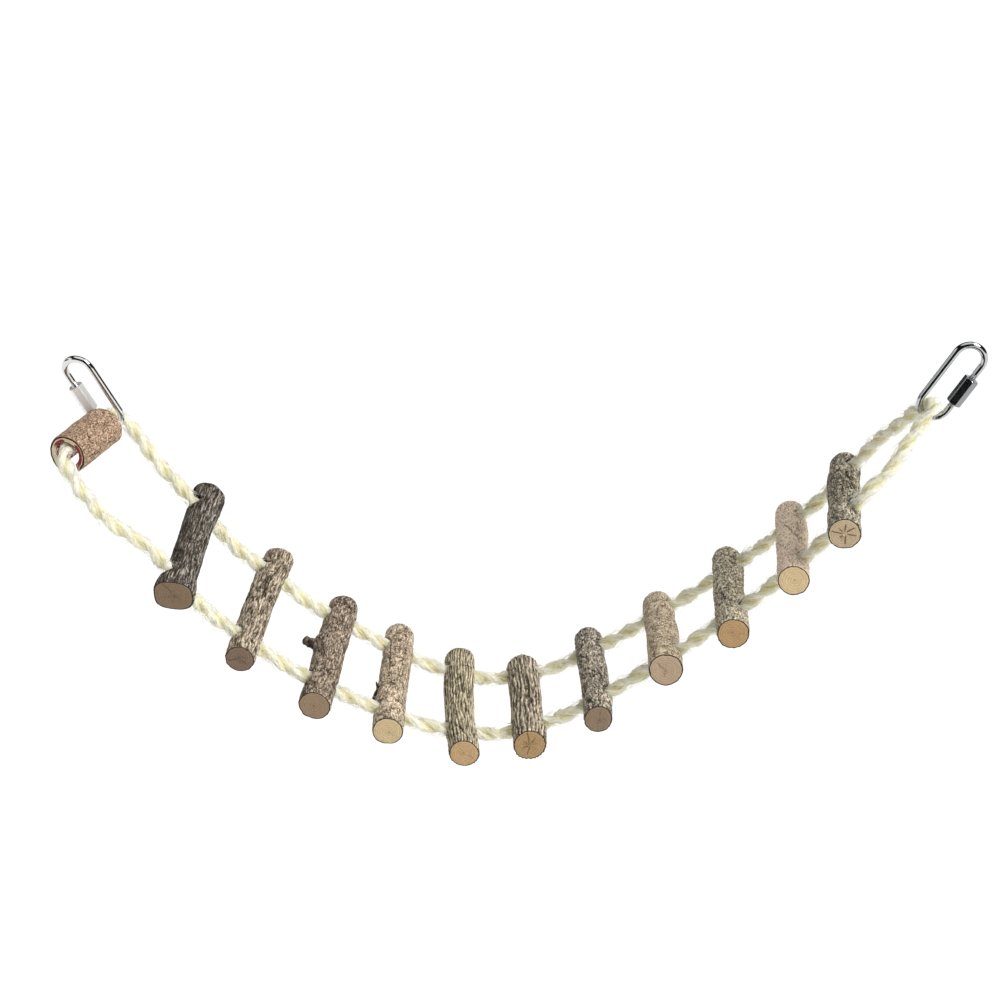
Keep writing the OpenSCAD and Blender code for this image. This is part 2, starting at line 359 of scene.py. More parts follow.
class Nodes:
    """A node tree, with a short call for each kind of node that is used here."""

    def __init__(self, tree):
        self.tree = tree

    def new(self, kind, **settings):
        x = self.tree.nodes.new(kind)
        for k, v in settings.items():
            setattr(x, k, v)
        return x

    def feed(self, socket, v):
        """Set a socket to a number or colour, or link a value to it."""
        if isinstance(v, Value):
            self.tree.links.new(v.socket, socket)
        else:
            socket.default_value = v

    def out(self, node, name=0):
        return Value(self, node.outputs[name])

    def math(self, op, a, b=0.0):
        x = self.new("ShaderNodeMath", operation=op)
        self.feed(x.inputs[0], a)
        self.feed(x.inputs[1], b)
        return self.out(x)

    def vector(self, op, a, b=None, out=0):
        x = self.new("ShaderNodeVectorMath", operation=op)
        self.feed(x.inputs[0], a)
        if b is not None:
            self.feed(x.inputs[1], b)
        return self.out(x, out)

    def split(self, v):
        x = self.new("ShaderNodeSeparateXYZ")
        self.feed(x.inputs[0], v)
        return [self.out(x, k) for k in range(3)]

    def place(self, name="Object"):
        return self.out(self.new("ShaderNodeTexCoord"), name)

    def noise(self, vec, scale, detail, rough):
        x = self.new("ShaderNodeTexNoise")
        for name, v in (("Vector", vec), ("Scale", scale), ("Detail", detail), ("Roughness", rough)):
            self.feed(x.inputs[name], v)
        return self.out(x, "Fac")

    def ramp(self, fac, *stops):
        """A colour ramp. A stop's colour may be one number, for a grey."""
        x = self.new("ShaderNodeValToRGB")
        elements = x.color_ramp.elements
        while len(elements) < len(stops):
            elements.new(0.5)
        for e, (place, c) in zip(elements, stops):
            e.position = place
            e.color = tuple(c)[:3] + (1,) if hasattr(c, "__len__") else (c, c, c, 1)
        self.feed(x.inputs[0], fac)
        return self.out(x)

    def rise(self, fac, a, b):
        return self.ramp(fac, (a, BLACK), (b, WHITE))

    def fall(self, fac, a, b):
        return self.ramp(fac, (a, WHITE), (b, BLACK))

    def mix(self, fac, a, b, mode="MIX"):
        x = self.new("ShaderNodeMix", data_type="RGBA", blend_type=mode)
        for k, v in ((0, fac), (6, a), (7, b)):
            self.feed(x.inputs[k], v)
        return self.out(x, 2)


class Mat(Nodes):
    """A material: the nodes that feed one Principled BSDF."""

    def __init__(self, name):
        self.material = bpy.data.materials.new(name)
        self.material.use_nodes = True
        super().__init__(self.material.node_tree)
        self.shader = self.tree.nodes["Principled BSDF"]

    def attr(self, name):
        """A point attribute of the mesh, a vector or a number."""
        kind = "Vector" if name in VECTORS else "Fac"
        return self.out(self.new("ShaderNodeAttribute", attribute_name=name), kind)

    def along(self, place, stretch):
        """A place for a pattern that is drawn out along the piece, its z."""
        return self.vector("MULTIPLY", place, (1, 1, stretch))

    def bump(self, height, strength, distance):
        x = self.new("ShaderNodeBump")
        for name, v in (("Strength", strength), ("Distance", distance), ("Height", height)):
            self.feed(x.inputs[name], v)
        self.set("Normal", self.out(x))

    def set(self, name, v):
        self.feed(self.shader.inputs[name], v)

    def done(self, colour, rough):
        self.set("Base Color", colour)
        self.set("Roughness", rough)
        return self.material


# ---------------------------------------------------------------- materials
def bark_material(name, dark, mid, light, stretch, fleck, relief=0.42):
    """Bark: dark in its fissures, pale on its ridges, mottled, flecked and dusty."""
    m = Mat(name)
    place, height = m.attr("rc"), m.attr("h")
    fine = m.noise(m.along(place, stretch), 1.5, 6, 0.8)
    wide = m.noise(m.along(place, 0.55), 0.22, 3, 0.5)
    grain = m.noise(m.along(place, 0.25 + stretch), 1.75, 3, 0.8)
    level = height * relief + fine * 1.35 - (0.62 * relief + 0.14)
    deep, glare = tinted(dark, 0.35), shade(light, 1.45)
    colour = m.ramp(level, (0.24, deep), (0.39, dark), (0.53, mid), (0.66, light), (0.80, glare))
    cast = m.ramp(wide, (0.3, (0.78, 0.78, 0.79)), (0.5, (1, 1, 1)), (0.7, (1.0, 0.97, 0.93)))
    colour = m.mix(0.75, colour, cast, "MULTIPLY")
    colour = m.mix((1.0 - m.rise(grain, 0.36, 0.42)) * fleck, colour, tinted(dark, 0.4))
    colour = m.mix(m.rise(grain, 0.58, 0.64) * (0.45 * fleck), colour, tinted(light, 1.35, top=0.95))
    m.bump(fine * 0.8 + grain * 0.35, 0.8, 0.0006)
    m.set("Specular IOR Level", 0.25)
    return m.done(colour, m.ramp(level, (0.2, 0.95), (0.8, 0.72)))


def cut_material(name, face, heart, checks, pith, pith_tone):
    """Saw-cut end grain: growth rings, rays, fine checks, a pith dot and the dark line of the bark."""
    m = Mat(name)
    place, rho = m.attr("fc"), m.attr("rho")
    from_pith = m.vector("SUBTRACT", place, pith + (0,))
    wobble = m.noise(from_pith, 0.35, 2, 0.5)
    length = m.vector("LENGTH", from_pith, out="Value")
    ring = length + wobble * 1.6
    rings, fine_rings = m.math("SINE", ring * 5.4), m.math("SINE", ring * 13.0)
    late_wood = tinted(face, 0.70, (1, 0.93, 0.82))
    colour = m.mix(rings * 0.26 + fine_rings * 0.12 + 0.5, tinted(face, 1.14), late_wood)
    blotch = m.noise(place, 0.5, 4, 0.6)
    colour = m.mix(m.rise(blotch, 0.42, 0.66) * 0.35, colour, tinted(face, 0.62))
    way = m.vector("NORMALIZE", from_pith)
    colour = m.mix(m.rise(m.noise(way, 9.0, 3, 0.7), 0.52, 0.60) * 0.25, colour, late_wood)
    # drying checks: hair lines out from the pith, and those that the mesh opens
    crack = m.noise(way, 2.2 + 3.0 * checks, 1, 0.5)
    line = m.ramp(crack, (0.488, BLACK), (0.497, WHITE), (0.503, WHITE), (0.512, BLACK))
    line = line * m.ramp(rho, (0.05, WHITE), (0.35, WHITE), (0.62, BLACK))
    _, across, opened = m.split(place)
    line = m.math("MAXIMUM", line, opened) * checks
    colour = m.mix(line, colour, tinted(face, 0.22))
    core = m.fall(length * 0.25, 0.12, 0.5)
    colour = m.mix(core * heart, colour, tinted(face, 0.55, (1, 0.9, 0.8)))
    dot = m.fall(length * 0.5, 0.16, 0.3)
    colour = m.mix(dot * 0.6, colour, tinted(face, pith_tone, top=0.95))
    # pale sapwood, then the dark line of the bark round the edge
    edge = rho + (blotch - 0.5) * 0.03
    colour = m.mix(m.rise(edge, 0.835, 0.905) * 0.25, colour, tinted(face, 1.25))
    colour = m.mix(m.rise(edge, 0.923, 0.941), colour, lin((44, 38, 32)))
    saw = m.math("SINE", across * 7.0 + blotch * 6.0)
    m.bump(saw * 0.25 + (rings * 0.15 + line * -2.0), 0.5, 0.0002)
    m.set("Specular IOR Level", 0.3)
    return m.done(colour, 0.78)


def rope_material(name):
    """Sisal: pale cream strands with fine fibres along the strand, and olive-yellow painted shade in the lay
    between them.
    """
    m = Mat(name)
    place, painted_crown_light = m.attr("rp"), m.attr("g")
    fibre = m.noise(m.along(place, 0.14), 1.5, 5, 0.8)
    broad = m.noise(place, 0.28, 2, 0.5)
    tuft = m.noise(m.along(place, 0.35), 1.3, 3, 0.6)
    # g is painted light on the strand tops and painted shade in the lay, mixed with fibre tone: olive-yellow
    # low, near-white high
    level = painted_crown_light * 0.55 + (fibre - 0.42) * 1.9 + (tuft - 0.5) * 0.7
    colour = m.ramp(level, (0.0, lin((212, 206, 156))), (0.24, lin((234, 229, 192))),
                    (0.50, lin((243, 240, 216))), (0.80, lin((249, 247, 232))))
    colour = m.mix(m.rise(broad, 0.42, 0.62) * 0.35, colour, lin((226, 216, 168)))
    shadow = m.fall(m.noise(m.along(place, 0.2), 2.1, 3, 0.75), 0.36, 0.44)
    colour = m.mix(shadow * 0.7, colour, lin((180, 170, 112)))
    m.bump(fibre, 0.9, 0.0005)
    for socket, v in (("Sheen Weight", 0.25), ("Sheen Roughness", 0.5), ("Subsurface Weight", 0.75),
                      ("Subsurface Radius", (1.0, 0.95, 0.75)), ("Subsurface Scale", 0.005),
                      ("Specular IOR Level", 0.3)):
        m.set(socket, v)
    return m.done(colour, 0.8)


def chrome_material(name, tint, rough, wear, metal=1.0):
    """Bright zinc or chrome: clear reflections, with faint handling marks."""
    m = Mat(name)
    place = m.place()
    marks = m.noise(place, 900, 4, 0.7)
    cloud = m.noise(place, 160, 3, 0.5)
    rough = rough + m.rise(marks, 0.5, 0.8) * (0.12 * wear)
    rough = rough + m.rise(cloud, 0.4, 0.8) * (0.08 * wear)
    m.bump(marks, 0.05 * wear, 0.0001)
    m.set("Metallic", metal)
    return m.done(m.mix(m.rise(cloud, 0.3, 0.8), lin(tint), tinted(lin(tint), 0.9)), rough)


def grey_material(name, scale, rough_noise, dark, light, specular=None):
    """Paper or card in one tone, faintly clouded."""
    m = Mat(name)
    cloud = m.noise(m.place(), scale, 3, rough_noise)
    if specular is not None:
        m.set("Specular IOR Level", specular)
    return m.done(m.ramp(cloud, (0.3, dark), (0.7, light)), 0.9)


# ---------------------------------------------------------------- camera
def add_camera():
    """The photograph's view: from the front and 27.4 degrees above."""
    elevation, distance = math.radians(27.4), 1.0
    target = Vector((BEND[0] + np.array([156.0, 0, 6.0])) * MM)
    data = bpy.data.cameras.new("camera")
    data.lens, data.sensor_width = 78.6, 36
    data.clip_start, data.clip_end = 0.01, 60
    cam = bpy.data.objects.new("camera", data)
    cam.location = target + distance * Vector((0, -math.cos(elevation), math.sin(elevation)))
    cam.rotation_euler = (math.pi / 2 - elevation, 0, 0)
    bpy.context.scene.collection.objects.link(cam)
    bpy.context.scene.camera = cam
    bpy.context.scene.view_settings.view_transform = "Standard"


add_camera()

# ---------------------------------------------------------------- ropes
ROPE_R, LAY = 3.2, 24.0
ROPE_STEP, ROPE_COLS = 0.42, 66
HAIRS_PER_MM, HAIR_RINGS, HAIR_REACH = 7.0, 7, 5.2
CORNER_REACH = 9.0  # a rope's line is rounded over this much on each side of a bend
BLEND_HALF = 8.5  # the half span round a bend that blend_at works out and does not use
ROPE_MAT = rope_material("sisal_rope")


def corner(a, v, b, reach):
    """From a to b past the corner v, rounded over reach on both sides."""
    d1, d2 = unit(v - a), unit(b - v)
    p, q = v - reach * d1, v + reach * d2
    t = np.linspace(0, 1, 15)[:, None]
    arc = (1 - t) ** 2 * p + 2 * t * (1 - t) * v + t * t * q
    straight = np.linspace(0, 1, 8)[:, None]
    return np.vstack([a + straight[:-1] * (p - a), arc, q + straight[1:] * (b - q)])


def rope_surface(s, angle, seed):
    """Radius, place for the fibre pattern and lightness of two fat strands laid up loosely. The lightness is
    painted light on the strand tops and painted shade in the lay, with the fibres' own tone.
    """
    turn = TURN * s / LAY + seed * 1.7 + 0.25 * noise_at(s / 9, 0, seed, 3)
    strand_r, strand_at = 0.52 * ROPE_R, 0.46 * ROPE_R
    phi = (angle - turn + math.pi / 2) % math.pi - math.pi / 2
    strand = np.floor((angle - turn + math.pi / 2) / math.pi) % 2
    swell = 1 + 0.09 * noise_at(s / 6, strand * 5.1, seed, 5)
    inside = np.maximum((strand_r * swell) ** 2 - (strand_at * np.sin(phi)) ** 2, 0)
    r = np.maximum(strand_at * np.cos(phi) + np.sqrt(inside), 0.50 * ROPE_R)
    # painted light: lighter on the strand tops, darker down in the lay as painted shade
    painted_crown_light = smooth(r, 0.48 * ROPE_R, 0.92 * ROPE_R)
    # fibres run along each strand, so their pattern turns with the lay
    along = angle - turn
    place = np.stack([ROPE_R * np.cos(along), ROPE_R * np.sin(along), s + seed * 40], -1)
    fibre = fbm(scaled(place, 2.0, 0.20), 3, seed + 1)
    bundle = noise(scaled(place, 0.9, 0.25), seed + 9)
    tuft = smooth(noise(scaled(place, 0.5, 0.35), seed + 15), 0.25, 0.7)
    frizz = fbm(scaled(place, 3.2, 0.55), 2, seed + 21)
    yarn = np.abs(noise(scaled(place, 1.15, 0.16), seed + 27))
    r = r + 0.34 * fibre + 0.30 * bundle + 0.42 * tuft + 0.26 * frizz + 0.55 * (yarn - 0.3)
    return r, place, painted_crown_light + 0.30 * fibre + 0.9 * (yarn - 0.25)


def stray_hair(rng, pts, t, e1, e2):
    """One stray fibre: its row of the rope, its rings of three points, and how light it is."""
    row = rng.integers(2, len(pts) - 3)
    angle = rng.uniform(0, TURN)
    size = rng.uniform(1.8, 5.0) if rng.random() < 0.75 else rng.uniform(5, 11)
    lift = rng.uniform(0.12, 0.75) if size < 6 else rng.uniform(0.15, 0.45)
    sign = rng.choice([-1, 1])
    out = math.cos(angle) * e1[row] + math.sin(angle) * e2[row]
    side = np.cross(t[row], out)
    way = unit(t[row] * sign + out * lift + side * rng.uniform(-0.5, 0.5))
    curl = out * rng.uniform(-0.06, 0.05) + side * rng.uniform(-0.08, 0.08)
    radius = rng.uniform(0.06, 0.12)
    x = np.linspace(0, 1, HAIR_RINGS)
    line = pts[row] + out * (ROPE_R * 0.86) + way * (x * size)[:, None] + curl * (x**2 * size)[:, None]
    # a hair stays within reach of the rope's middle line
    near = pts[max(0, row - 32) : row + 33]
    gap = np.linalg.norm(line[:, None] - near[None], axis=2)
    close, reach = near[gap.argmin(1)], gap.min(1)
    line = close + (line - close) * (np.minimum(reach, HAIR_REACH) / np.maximum(reach, 1e-6))[:, None]
    _, e, f = transport(line)
    tube = around(line, (radius * (1 - 0.75 * x))[:, None], angles(3)[None], e, f)
    return row, tube, rng.uniform(0.45, 1.1)


def rope(name, path, seed):
    """A stretch of rope with the stray fibres that sisal sheds."""
    rng = np.random.default_rng(seed)
    pts, s = resample(path, ROPE_STEP)
    t, e1, e2 = transport(pts)
    rows, cols = len(pts), ROPE_COLS
    s_grid, angle = np.meshgrid(s, angles(cols), indexing="ij")
    r, place, light = rope_surface(s_grid, angle, seed)
    mesh = Gather()
    # g carries the strands' painted light and painted shade, with their fibre tone
    mesh.add(around(pts, r, angle, e1, e2), rp=place, g=np.clip(light, 0, 1))
    # the two tips that close it are hidden inside the rungs
    mesh.add([pts[0] - t[0] * 0.8, pts[-1] + t[-1] * 0.8], rp=[[0, 0, s[0]], [0, 0, s[-1]]], g=0.5)
    quads, tris = [grid_quads(rows, cols)], [end_fans(rows, cols)]
    for k in range(int(HAIRS_PER_MM * s[-1])):
        row, tube, hair_light = stray_hair(rng, pts, t, e1, e2)
        ids = mesh.add(tube, rp=[ROPE_R, k * 3.1, s[row]], g=min(1, hair_light))
        quads.append(grid_quads(HAIR_RINGS, 3, ids[0]))
        tris.append([[ids[0], ids[2], ids[1]], ids[-3:]])
    ob = mesh.build(name, np.vstack(quads), np.vstack(tris), [ROPE_MAT])
    return ob


def blend_at(ob, v, way):
    """Bake a rope's transform into its mesh. The span along way on either side of the bend v is worked out
    but not used.
    """
    metres(v - BLEND_HALF * way)
    metres(v + BLEND_HALF * way)
    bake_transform(ob)


def rope_run(side_name, side, i, seed):
    """A side rope's stretch over bend i, from the middle of one rung to the middle of the next."""
    path = corner((side[i - 1] + side[i]) / 2, side[i], (side[i] + side[i + 1]) / 2, CORNER_REACH)
    ob = rope("%s_run_%02d" % (side_name, i), path, seed)
    blend_at(ob, side[i], unit(side[i + 1] - side[i - 1]))
    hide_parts("%s_rope_%02d" % (side_name, i), "%s_rope_%02d" % (side_name, i + 1))


for side_name, side, first_seed in (("front", FRONT, 3), ("back", BACK, 31)):
    for i in range(1, RUNGS):
        rope_run(side_name, side, i, first_seed + i)

# The routes of the two rope turns, point by point as in part.scad.
LEFT_WAY = ORIGIN + np.array([
    [17.3, -24, -33.5], [9.3, -23.6, -26.5], [3.2, -22.9, -18.5], [-2.2, -22.4, -9.5],
    [-5.6, -21.8, -2.2], [-6.8, -18.6, 1.7], [-5.5, -14.5, 2.5], [0, 0, 2.5], [5.5, 14.5, 2.5],
    [7.4, 19.4, 2.5], [9.2, 24, 1.7], [12.8, 27, -2.8], [17.4, 27, -8.4], [23.2, 25.4, -17.5],
    [28.2, 24.7, -25]])
RIGHT_WAY = ORIGIN + np.array([
    [360.9, -19.8, -4.4], [367.8, -14, 3.6], [373.4, -9, 9.9], [377.9, -5.7, 14.2],
    [380.4, -3.3, 16.7], [381.4, 0, 17.4], [380.4, 3.3, 16.6], [377.9, 5.7, 13.9],
    [373.3, 9.6, 8], [367.9, 15, -0.9], [361.6, 20.2, -9.5]])


def rope_turn(side_name, way, i, j, rung, seed):
    """A rope turn, from the middle of the last rung and back into it, past end bend i beside bend j."""
    a, b = (FRONT[i] + FRONT[j]) / 2, (BACK[i] + BACK[j]) / 2
    out = [a, 0.45 * FRONT[i] + 0.55 * a, FRONT[i]]
    back = [BACK[i], 0.45 * BACK[i] + 0.55 * b, b]
    path = crom(np.vstack([out, way, back]), 6)
    ob = rope("%s_bight_rope" % side_name, path, seed)
    blend_at(ob, BEND[i], unit(BEND[j] - BEND[i]))
    line, s = resample(path, 4.0)
    metres(a)
    [metres(p) for p in line]
    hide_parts("%s_bight" % side_name, "front_rope_%02d" % rung, "back_rope_%02d" % rung)


rope_turn("left", LEFT_WAY, 0, 1, 1, 71)
rope_turn("right", RIGHT_WAY, RUNGS, RUNGS - 1, RUNGS, 83)

# ---------------------------------------------------------------- rungs
ROWS, COLS, FACE_RINGS = 230, 168, 22
PHI = angles(COLS)
HOLE_R = 3.55
SAW_REACH = 14  # the lean of a saw cut fades out over this much of the piece


def bark_layer(layer, ring, q, phi, seed, depth, h):
    """Add one layer of bark to its relief in mm, depth, and to its lightness, h."""
    kind, f, stretch, amp, sd = layer
    p = scaled(q, f, f * stretch)
    own = seed + sd
    if kind == "fissure":
        area = smooth(noise(scaled(ring, 0.16, 0.06), own + 5), -0.35, 0.25)
        g = ridged(p, own, 0.16) * (0.35 + 0.65 * area)
        g = np.maximum(g, ridged(p * 1.9 + 7, own + 3, 0.2) * 0.55)
        return depth - amp * g, h - 0.62 * g
    if kind == "ridge":
        n = 1 - np.abs(fbm(p, 2, own)) * 2.2
        return depth + amp * (n - 0.5), h + 0.42 * (n - 0.55)
    if kind == "pebble":
        n = fbm(p, 2, own)
        return depth + amp * n, h + 0.38 * n
    if kind == "wrinkle":
        n = ridged(p, own, 0.2)
        return depth - amp * n, h - 0.4 * n
    if kind == "groove":
        sway = 4.2 * noise(scaled(ring, 0.2, 0.07), own)
        sway = sway + 1.5 * noise(scaled(ring, 0.5, 0.22), own + 1)
        v = np.sin(phi * f + sway) + 0.35 * noise(scaled(ring, 0.9, 0.25), own + 2)
        n = smooth(v, -0.95, 0.6)
        return depth + amp * (n - 0.6), h + 0.55 * (n - 0.70)
    # streaks: long light threads, marks of the bark, drawn only on the side turned to the right towards the
    # light as painted light, with the other sides a little darker as painted shade
    n = np.maximum(ridged(p, own, 0.34), 0.8 * ridged(p * 1.6 + 3, own + 2, 0.3))
    noisy = 0.3 * noise(ring * 0.25, seed + 9)
    painted_lit_side = smooth(np.cos(phi - math.radians(5)) + noisy, 0.25, 0.85)
    return depth + amp * (n - 0.4) * painted_lit_side, h * (1 - painted_lit_side) + painted_lit_side * (0.25 + 0.9 * n) - 0.12 * (1 - painted_lit_side)


def bark_relief(spec, ring, u, phi, seed):
    """Relief in mm and lightness of a rung's bark, with its layers and its scars."""
    sway = [noise(ring * 0.22, seed + 51), noise(ring * 0.22, seed + 52), noise(ring * 0.12, seed + 53) * 2]
    q = ring + np.stack(sway, -1) * 1.2
    depth, h = np.zeros_like(phi), np.full_like(phi, 0.62)
    for layer in spec["bark"]:
        depth, h = bark_layer(layer, ring, q, phi, seed, depth, h)
    for su, degrees, length, width, turn, deep in spec["scars"]:
        across = wrap(phi - math.radians(degrees)) * spec["r"][1]
        along, across = turned(u - su, across, turn)
        across = across + 0.35 * noise_at(along * 0.8, 0, su, seed + 77)
        g = np.exp(-((along / length) ** 4) - (across / width) ** 2)
        depth, h = depth - deep * g, h - 0.85 * g
    fine = fbm(scaled(ring, 1.7, 1.1), 2, seed + 31)
    return depth + 0.07 * fine, h + 0.10 * fine


def grown_radius(spec, ring, u, phi, seed):
    """Radius of a rung without its bark: taper, lumps, knots and a squarish end."""
    near, far = spec["near"], spec["far"]
    rn, rm, rf = spec["r"]
    r = np.interp(u, [-near, -near + 13, 0, far], [rn, 0.2 * rn + 0.8 * rm, rm, rf]) + 0.3
    r = r + spec["lump"] * fbm(scaled(ring, 0.13, 0.075), 2, seed)
    for ku, degrees, height, along, across in spec["knots"]:
        turn = wrap(phi - math.radians(degrees)) / math.radians(across)
        r = r + height * np.exp(-(((u - ku) / along) ** 2) - turn**2)
    if "square" in spec:
        amount, degrees, start = spec["square"]
        r = r * (1 + amount * np.cos(4 * (phi - math.radians(degrees))) * smooth(-u, -start, near))
    return r


def torn_holes(spec, i, skin, ring, r, seed):
    """Break the bark out round the two rope holes. Gives the radius and dark, the painted shade round each
    hole where the gap beside the rope lies in shade.
    """
    dark = np.zeros_like(r)
    for side, tear in ((FRONT, spec.get("tear_front", 0.5)), (BACK, spec.get("tear_back", 0.5))):
        way = unit(side[i + 1] - side[i])
        rel = skin - (side[i + 1] + side[i]) / 2
        dist = np.linalg.norm(rel - (rel @ way)[..., None] * way, axis=-1)
        ragged = HOLE_R + tear * (0.55 + 0.6 * noise(ring * 0.45, seed + 61))
        ragged = ragged + 0.15 * noise(ring * 1.6, seed + 62)
        lip = np.exp(-(((dist - ragged - 0.7) / 0.8) ** 2)) * 0.22
        r = r * (1 - 0.40 * (1 - smooth(dist, ragged - 0.35, ragged + 0.35))) + lip
        # painted shade: the bark darkened round the hole, where the gap beside the rope is in shade
        dark = np.maximum(dark, 1 - smooth(dist, ragged - 0.1, ragged + 0.55))
    return r, dark


def cut_notches(spec, u, phi, r, dark):
    for nu, degrees, length, width, deep, turn in spec.get("notches", []):
        across = wrap(phi - math.radians(degrees)) * spec["r"][1]
        along, across = turned(u - nu, across, turn)
        g = np.exp(-(np.abs(along / length) ** 3) - np.abs(across / width) ** 3)
        r = r - deep * g
        # painted shade: the notch's hollow darkened as the shade that falls in it
        dark = np.maximum(dark, 0.92 * smooth(g, 0.25, 0.7))
    return r, dark


def slope(tilt, x, y):
    """How far a saw cut leans along the piece at x, y. tilt is in degrees."""
    return math.tan(math.radians(tilt[0])) * x + math.tan(math.radians(tilt[1])) * y


def face_relief(spec, end, k, seed, x, y, f):
    """A saw cut at the fraction f of its radius: saw marks, drying checks, a shallow dish, proud bark."""
    checks, count = spec["checks"], spec["check_n"][end]
    sway = 2.2 * noise_at(np.cos(PHI) * 0.9, np.sin(PHI) * 0.9, k, 6)
    fan = PHI * count + sway + 0.9 * noise_at(x * 0.25, y * 0.25, k, 7)
    run = 0.42 + 0.55 * noise_at(np.cos(PHI) * 1.9, np.sin(PHI) * 1.9, 3 * k + end, 8)
    width = 0.025 * count + 0.02
    crack = np.exp(-((np.sin(fan / 2 + k) / width) ** 2) * (0.25 + f) ** 2)
    crack = crack * smooth(f, 0.12, 0.2) * (1 - smooth(f - run, 0.0, 0.16))
    p = np.stack([x, y, x * 0 + 50 * k + 9 * end], -1)
    z = 0.10 * noise(p * 0.35, seed + 95) + 0.05 * noise(p * 1.7, seed + 96) - 0.55 * crack * checks
    z = z - 0.12 * smooth(f, 0.80, 0.88) * (1 - smooth(f, 0.90, 0.94)) + 0.08 * smooth(f, 0.93, 0.98)
    return z + 0.12 * smooth(1 - f, 0.02, 0.2), crack


def rung(i, spec, mats):
    """One branch piece: grown crooked and knotty, barked, drilled for both ropes and sawn at both ends."""
    k, seed = i + 1, 100 * (i + 1)
    near, far = spec["near"], spec["far"]
    axis, mid = RUNG_AXIS[i], RUNG_MID[i]
    e1 = unit(np.cross(axis, [0, 0, 1]))
    e2 = np.cross(e1, axis)
    u_line = np.linspace(-near, far, ROWS)
    u, phi = np.meshgrid(u_line, PHI, indexing="ij")
    cos, sin = np.cos(phi), np.sin(phi)
    ring = np.stack([cos * spec["r"][1], sin * spec["r"][1], u], -1)

    # the line that the piece follows
    kx, ky, k_start = spec.get("kink", (0, 0, 0))
    bowed, kinked = 1 - (u_line / 38) ** 2, smooth(-u_line, -k_start, near)
    x0 = spec["bow"][0] * bowed + 0.35 * noise_at(u_line * 0.06, 0, k, 4) + kx * kinked
    y0 = spec["bow"][1] * bowed + 0.30 * noise_at(u_line * 0.06, 5, k, 8) + ky * kinked

    def place(along, x, y, at):
        """Points at x, y off the line, which is taken at the rows given by at."""
        return mid + along[..., None] * axis + (x0[at] + x)[..., None] * e1 + (y0[at] + y)[..., None] * e2

    r = grown_radius(spec, ring, u, phi, seed)
    depth, h = bark_relief(spec, ring, u, phi, seed)
    edge = np.minimum(u_line + near, far - u_line)[:, None]
    r = r + depth * (0.45 + 0.55 * smooth(edge, -0.6, 1.2))
    every_row = (slice(None), None)
    r, dark = torn_holes(spec, i, place(u, r * cos, r * sin, every_row), ring, r, seed)
    r, dark = cut_notches(spec, u, phi, r, dark)
    # h is darkened by painted shade round the rope holes and in the notches
    h = np.clip(h, 0, 1) * (1 - dark)

    # each saw cut leans a little, and chips the bark at its edge
    near_tilt, far_tilt = spec["saw"]
    shear = np.clip(1 - (u + near) / SAW_REACH, 0, 1) ** 1.5 * slope(near_tilt, r * cos, r * sin)
    shear += np.clip(1 - (far - u) / SAW_REACH, 0, 1) ** 1.5 * slope(far_tilt, r * cos, r * sin)
    r = r - np.clip(1 - edge / 0.7, 0, 1) * (0.22 + 0.15 * noise(ring * 0.6, seed + 90))

    mesh = Gather()
    mesh.add(place(u + shear, r * cos, r * sin, every_row), rc=ring + [0, 0, 37.0 * k], h=h, rho=1,
             fc=np.stack([r * cos, r * sin, 0 * r], -1))
    quads, tris, rims = [grid_quads(ROWS, COLS, flip=True)], [], []
    for end, row, u_end, tilt, sign in ((0, 0, -near, near_tilt, -1), (1, ROWS - 1, far, far_tilt, 1)):
        prev = row * COLS + np.arange(COLS)
        rims.append(prev)
        for n in range(1, FACE_RINGS):
            f = 1 - n / FACE_RINGS
            x, y = r[row] * f * np.cos(PHI), r[row] * f * np.sin(PHI)
            z, crack = face_relief(spec, end, k, seed, x, y, f)
            cur = mesh.add(place(u_end + slope(tilt, x, y) + sign * z * 0.9, x, y, row), h=0.5, rho=f,
                           rc=np.stack([x, y, x * 0 + u_end], -1), fc=np.stack([x, y, crack], -1))
            strip = np.stack([prev, np.roll(prev, -1), np.roll(cur, -1), cur], -1)
            quads.append(strip if end == 0 else strip[:, ::-1])
            prev = cur
        middle = mesh.add(place(np.array(u_end + sign * 0.05), 0, 0, row), rc=0, h=0.5, rho=0, fc=0)
        fan = np.stack([prev, np.roll(prev, -1), np.repeat(middle, COLS)], -1)
        tris.append(fan if end == 0 else fan[:, ::-1])
    quads, tris = np.vstack(quads), np.vstack(tris)
    # the bark is the first material, and all faces past its grid are saw cut
    mat_of = (np.arange(len(quads) + len(tris)) >= (ROWS - 1) * COLS).astype(int)
    ob = mesh.build("rung_bark_%02d" % k, quads, tris, mats, mat_of, rims)
    bind(ob, "step_%02d" % k, "rung_%02d" % k)


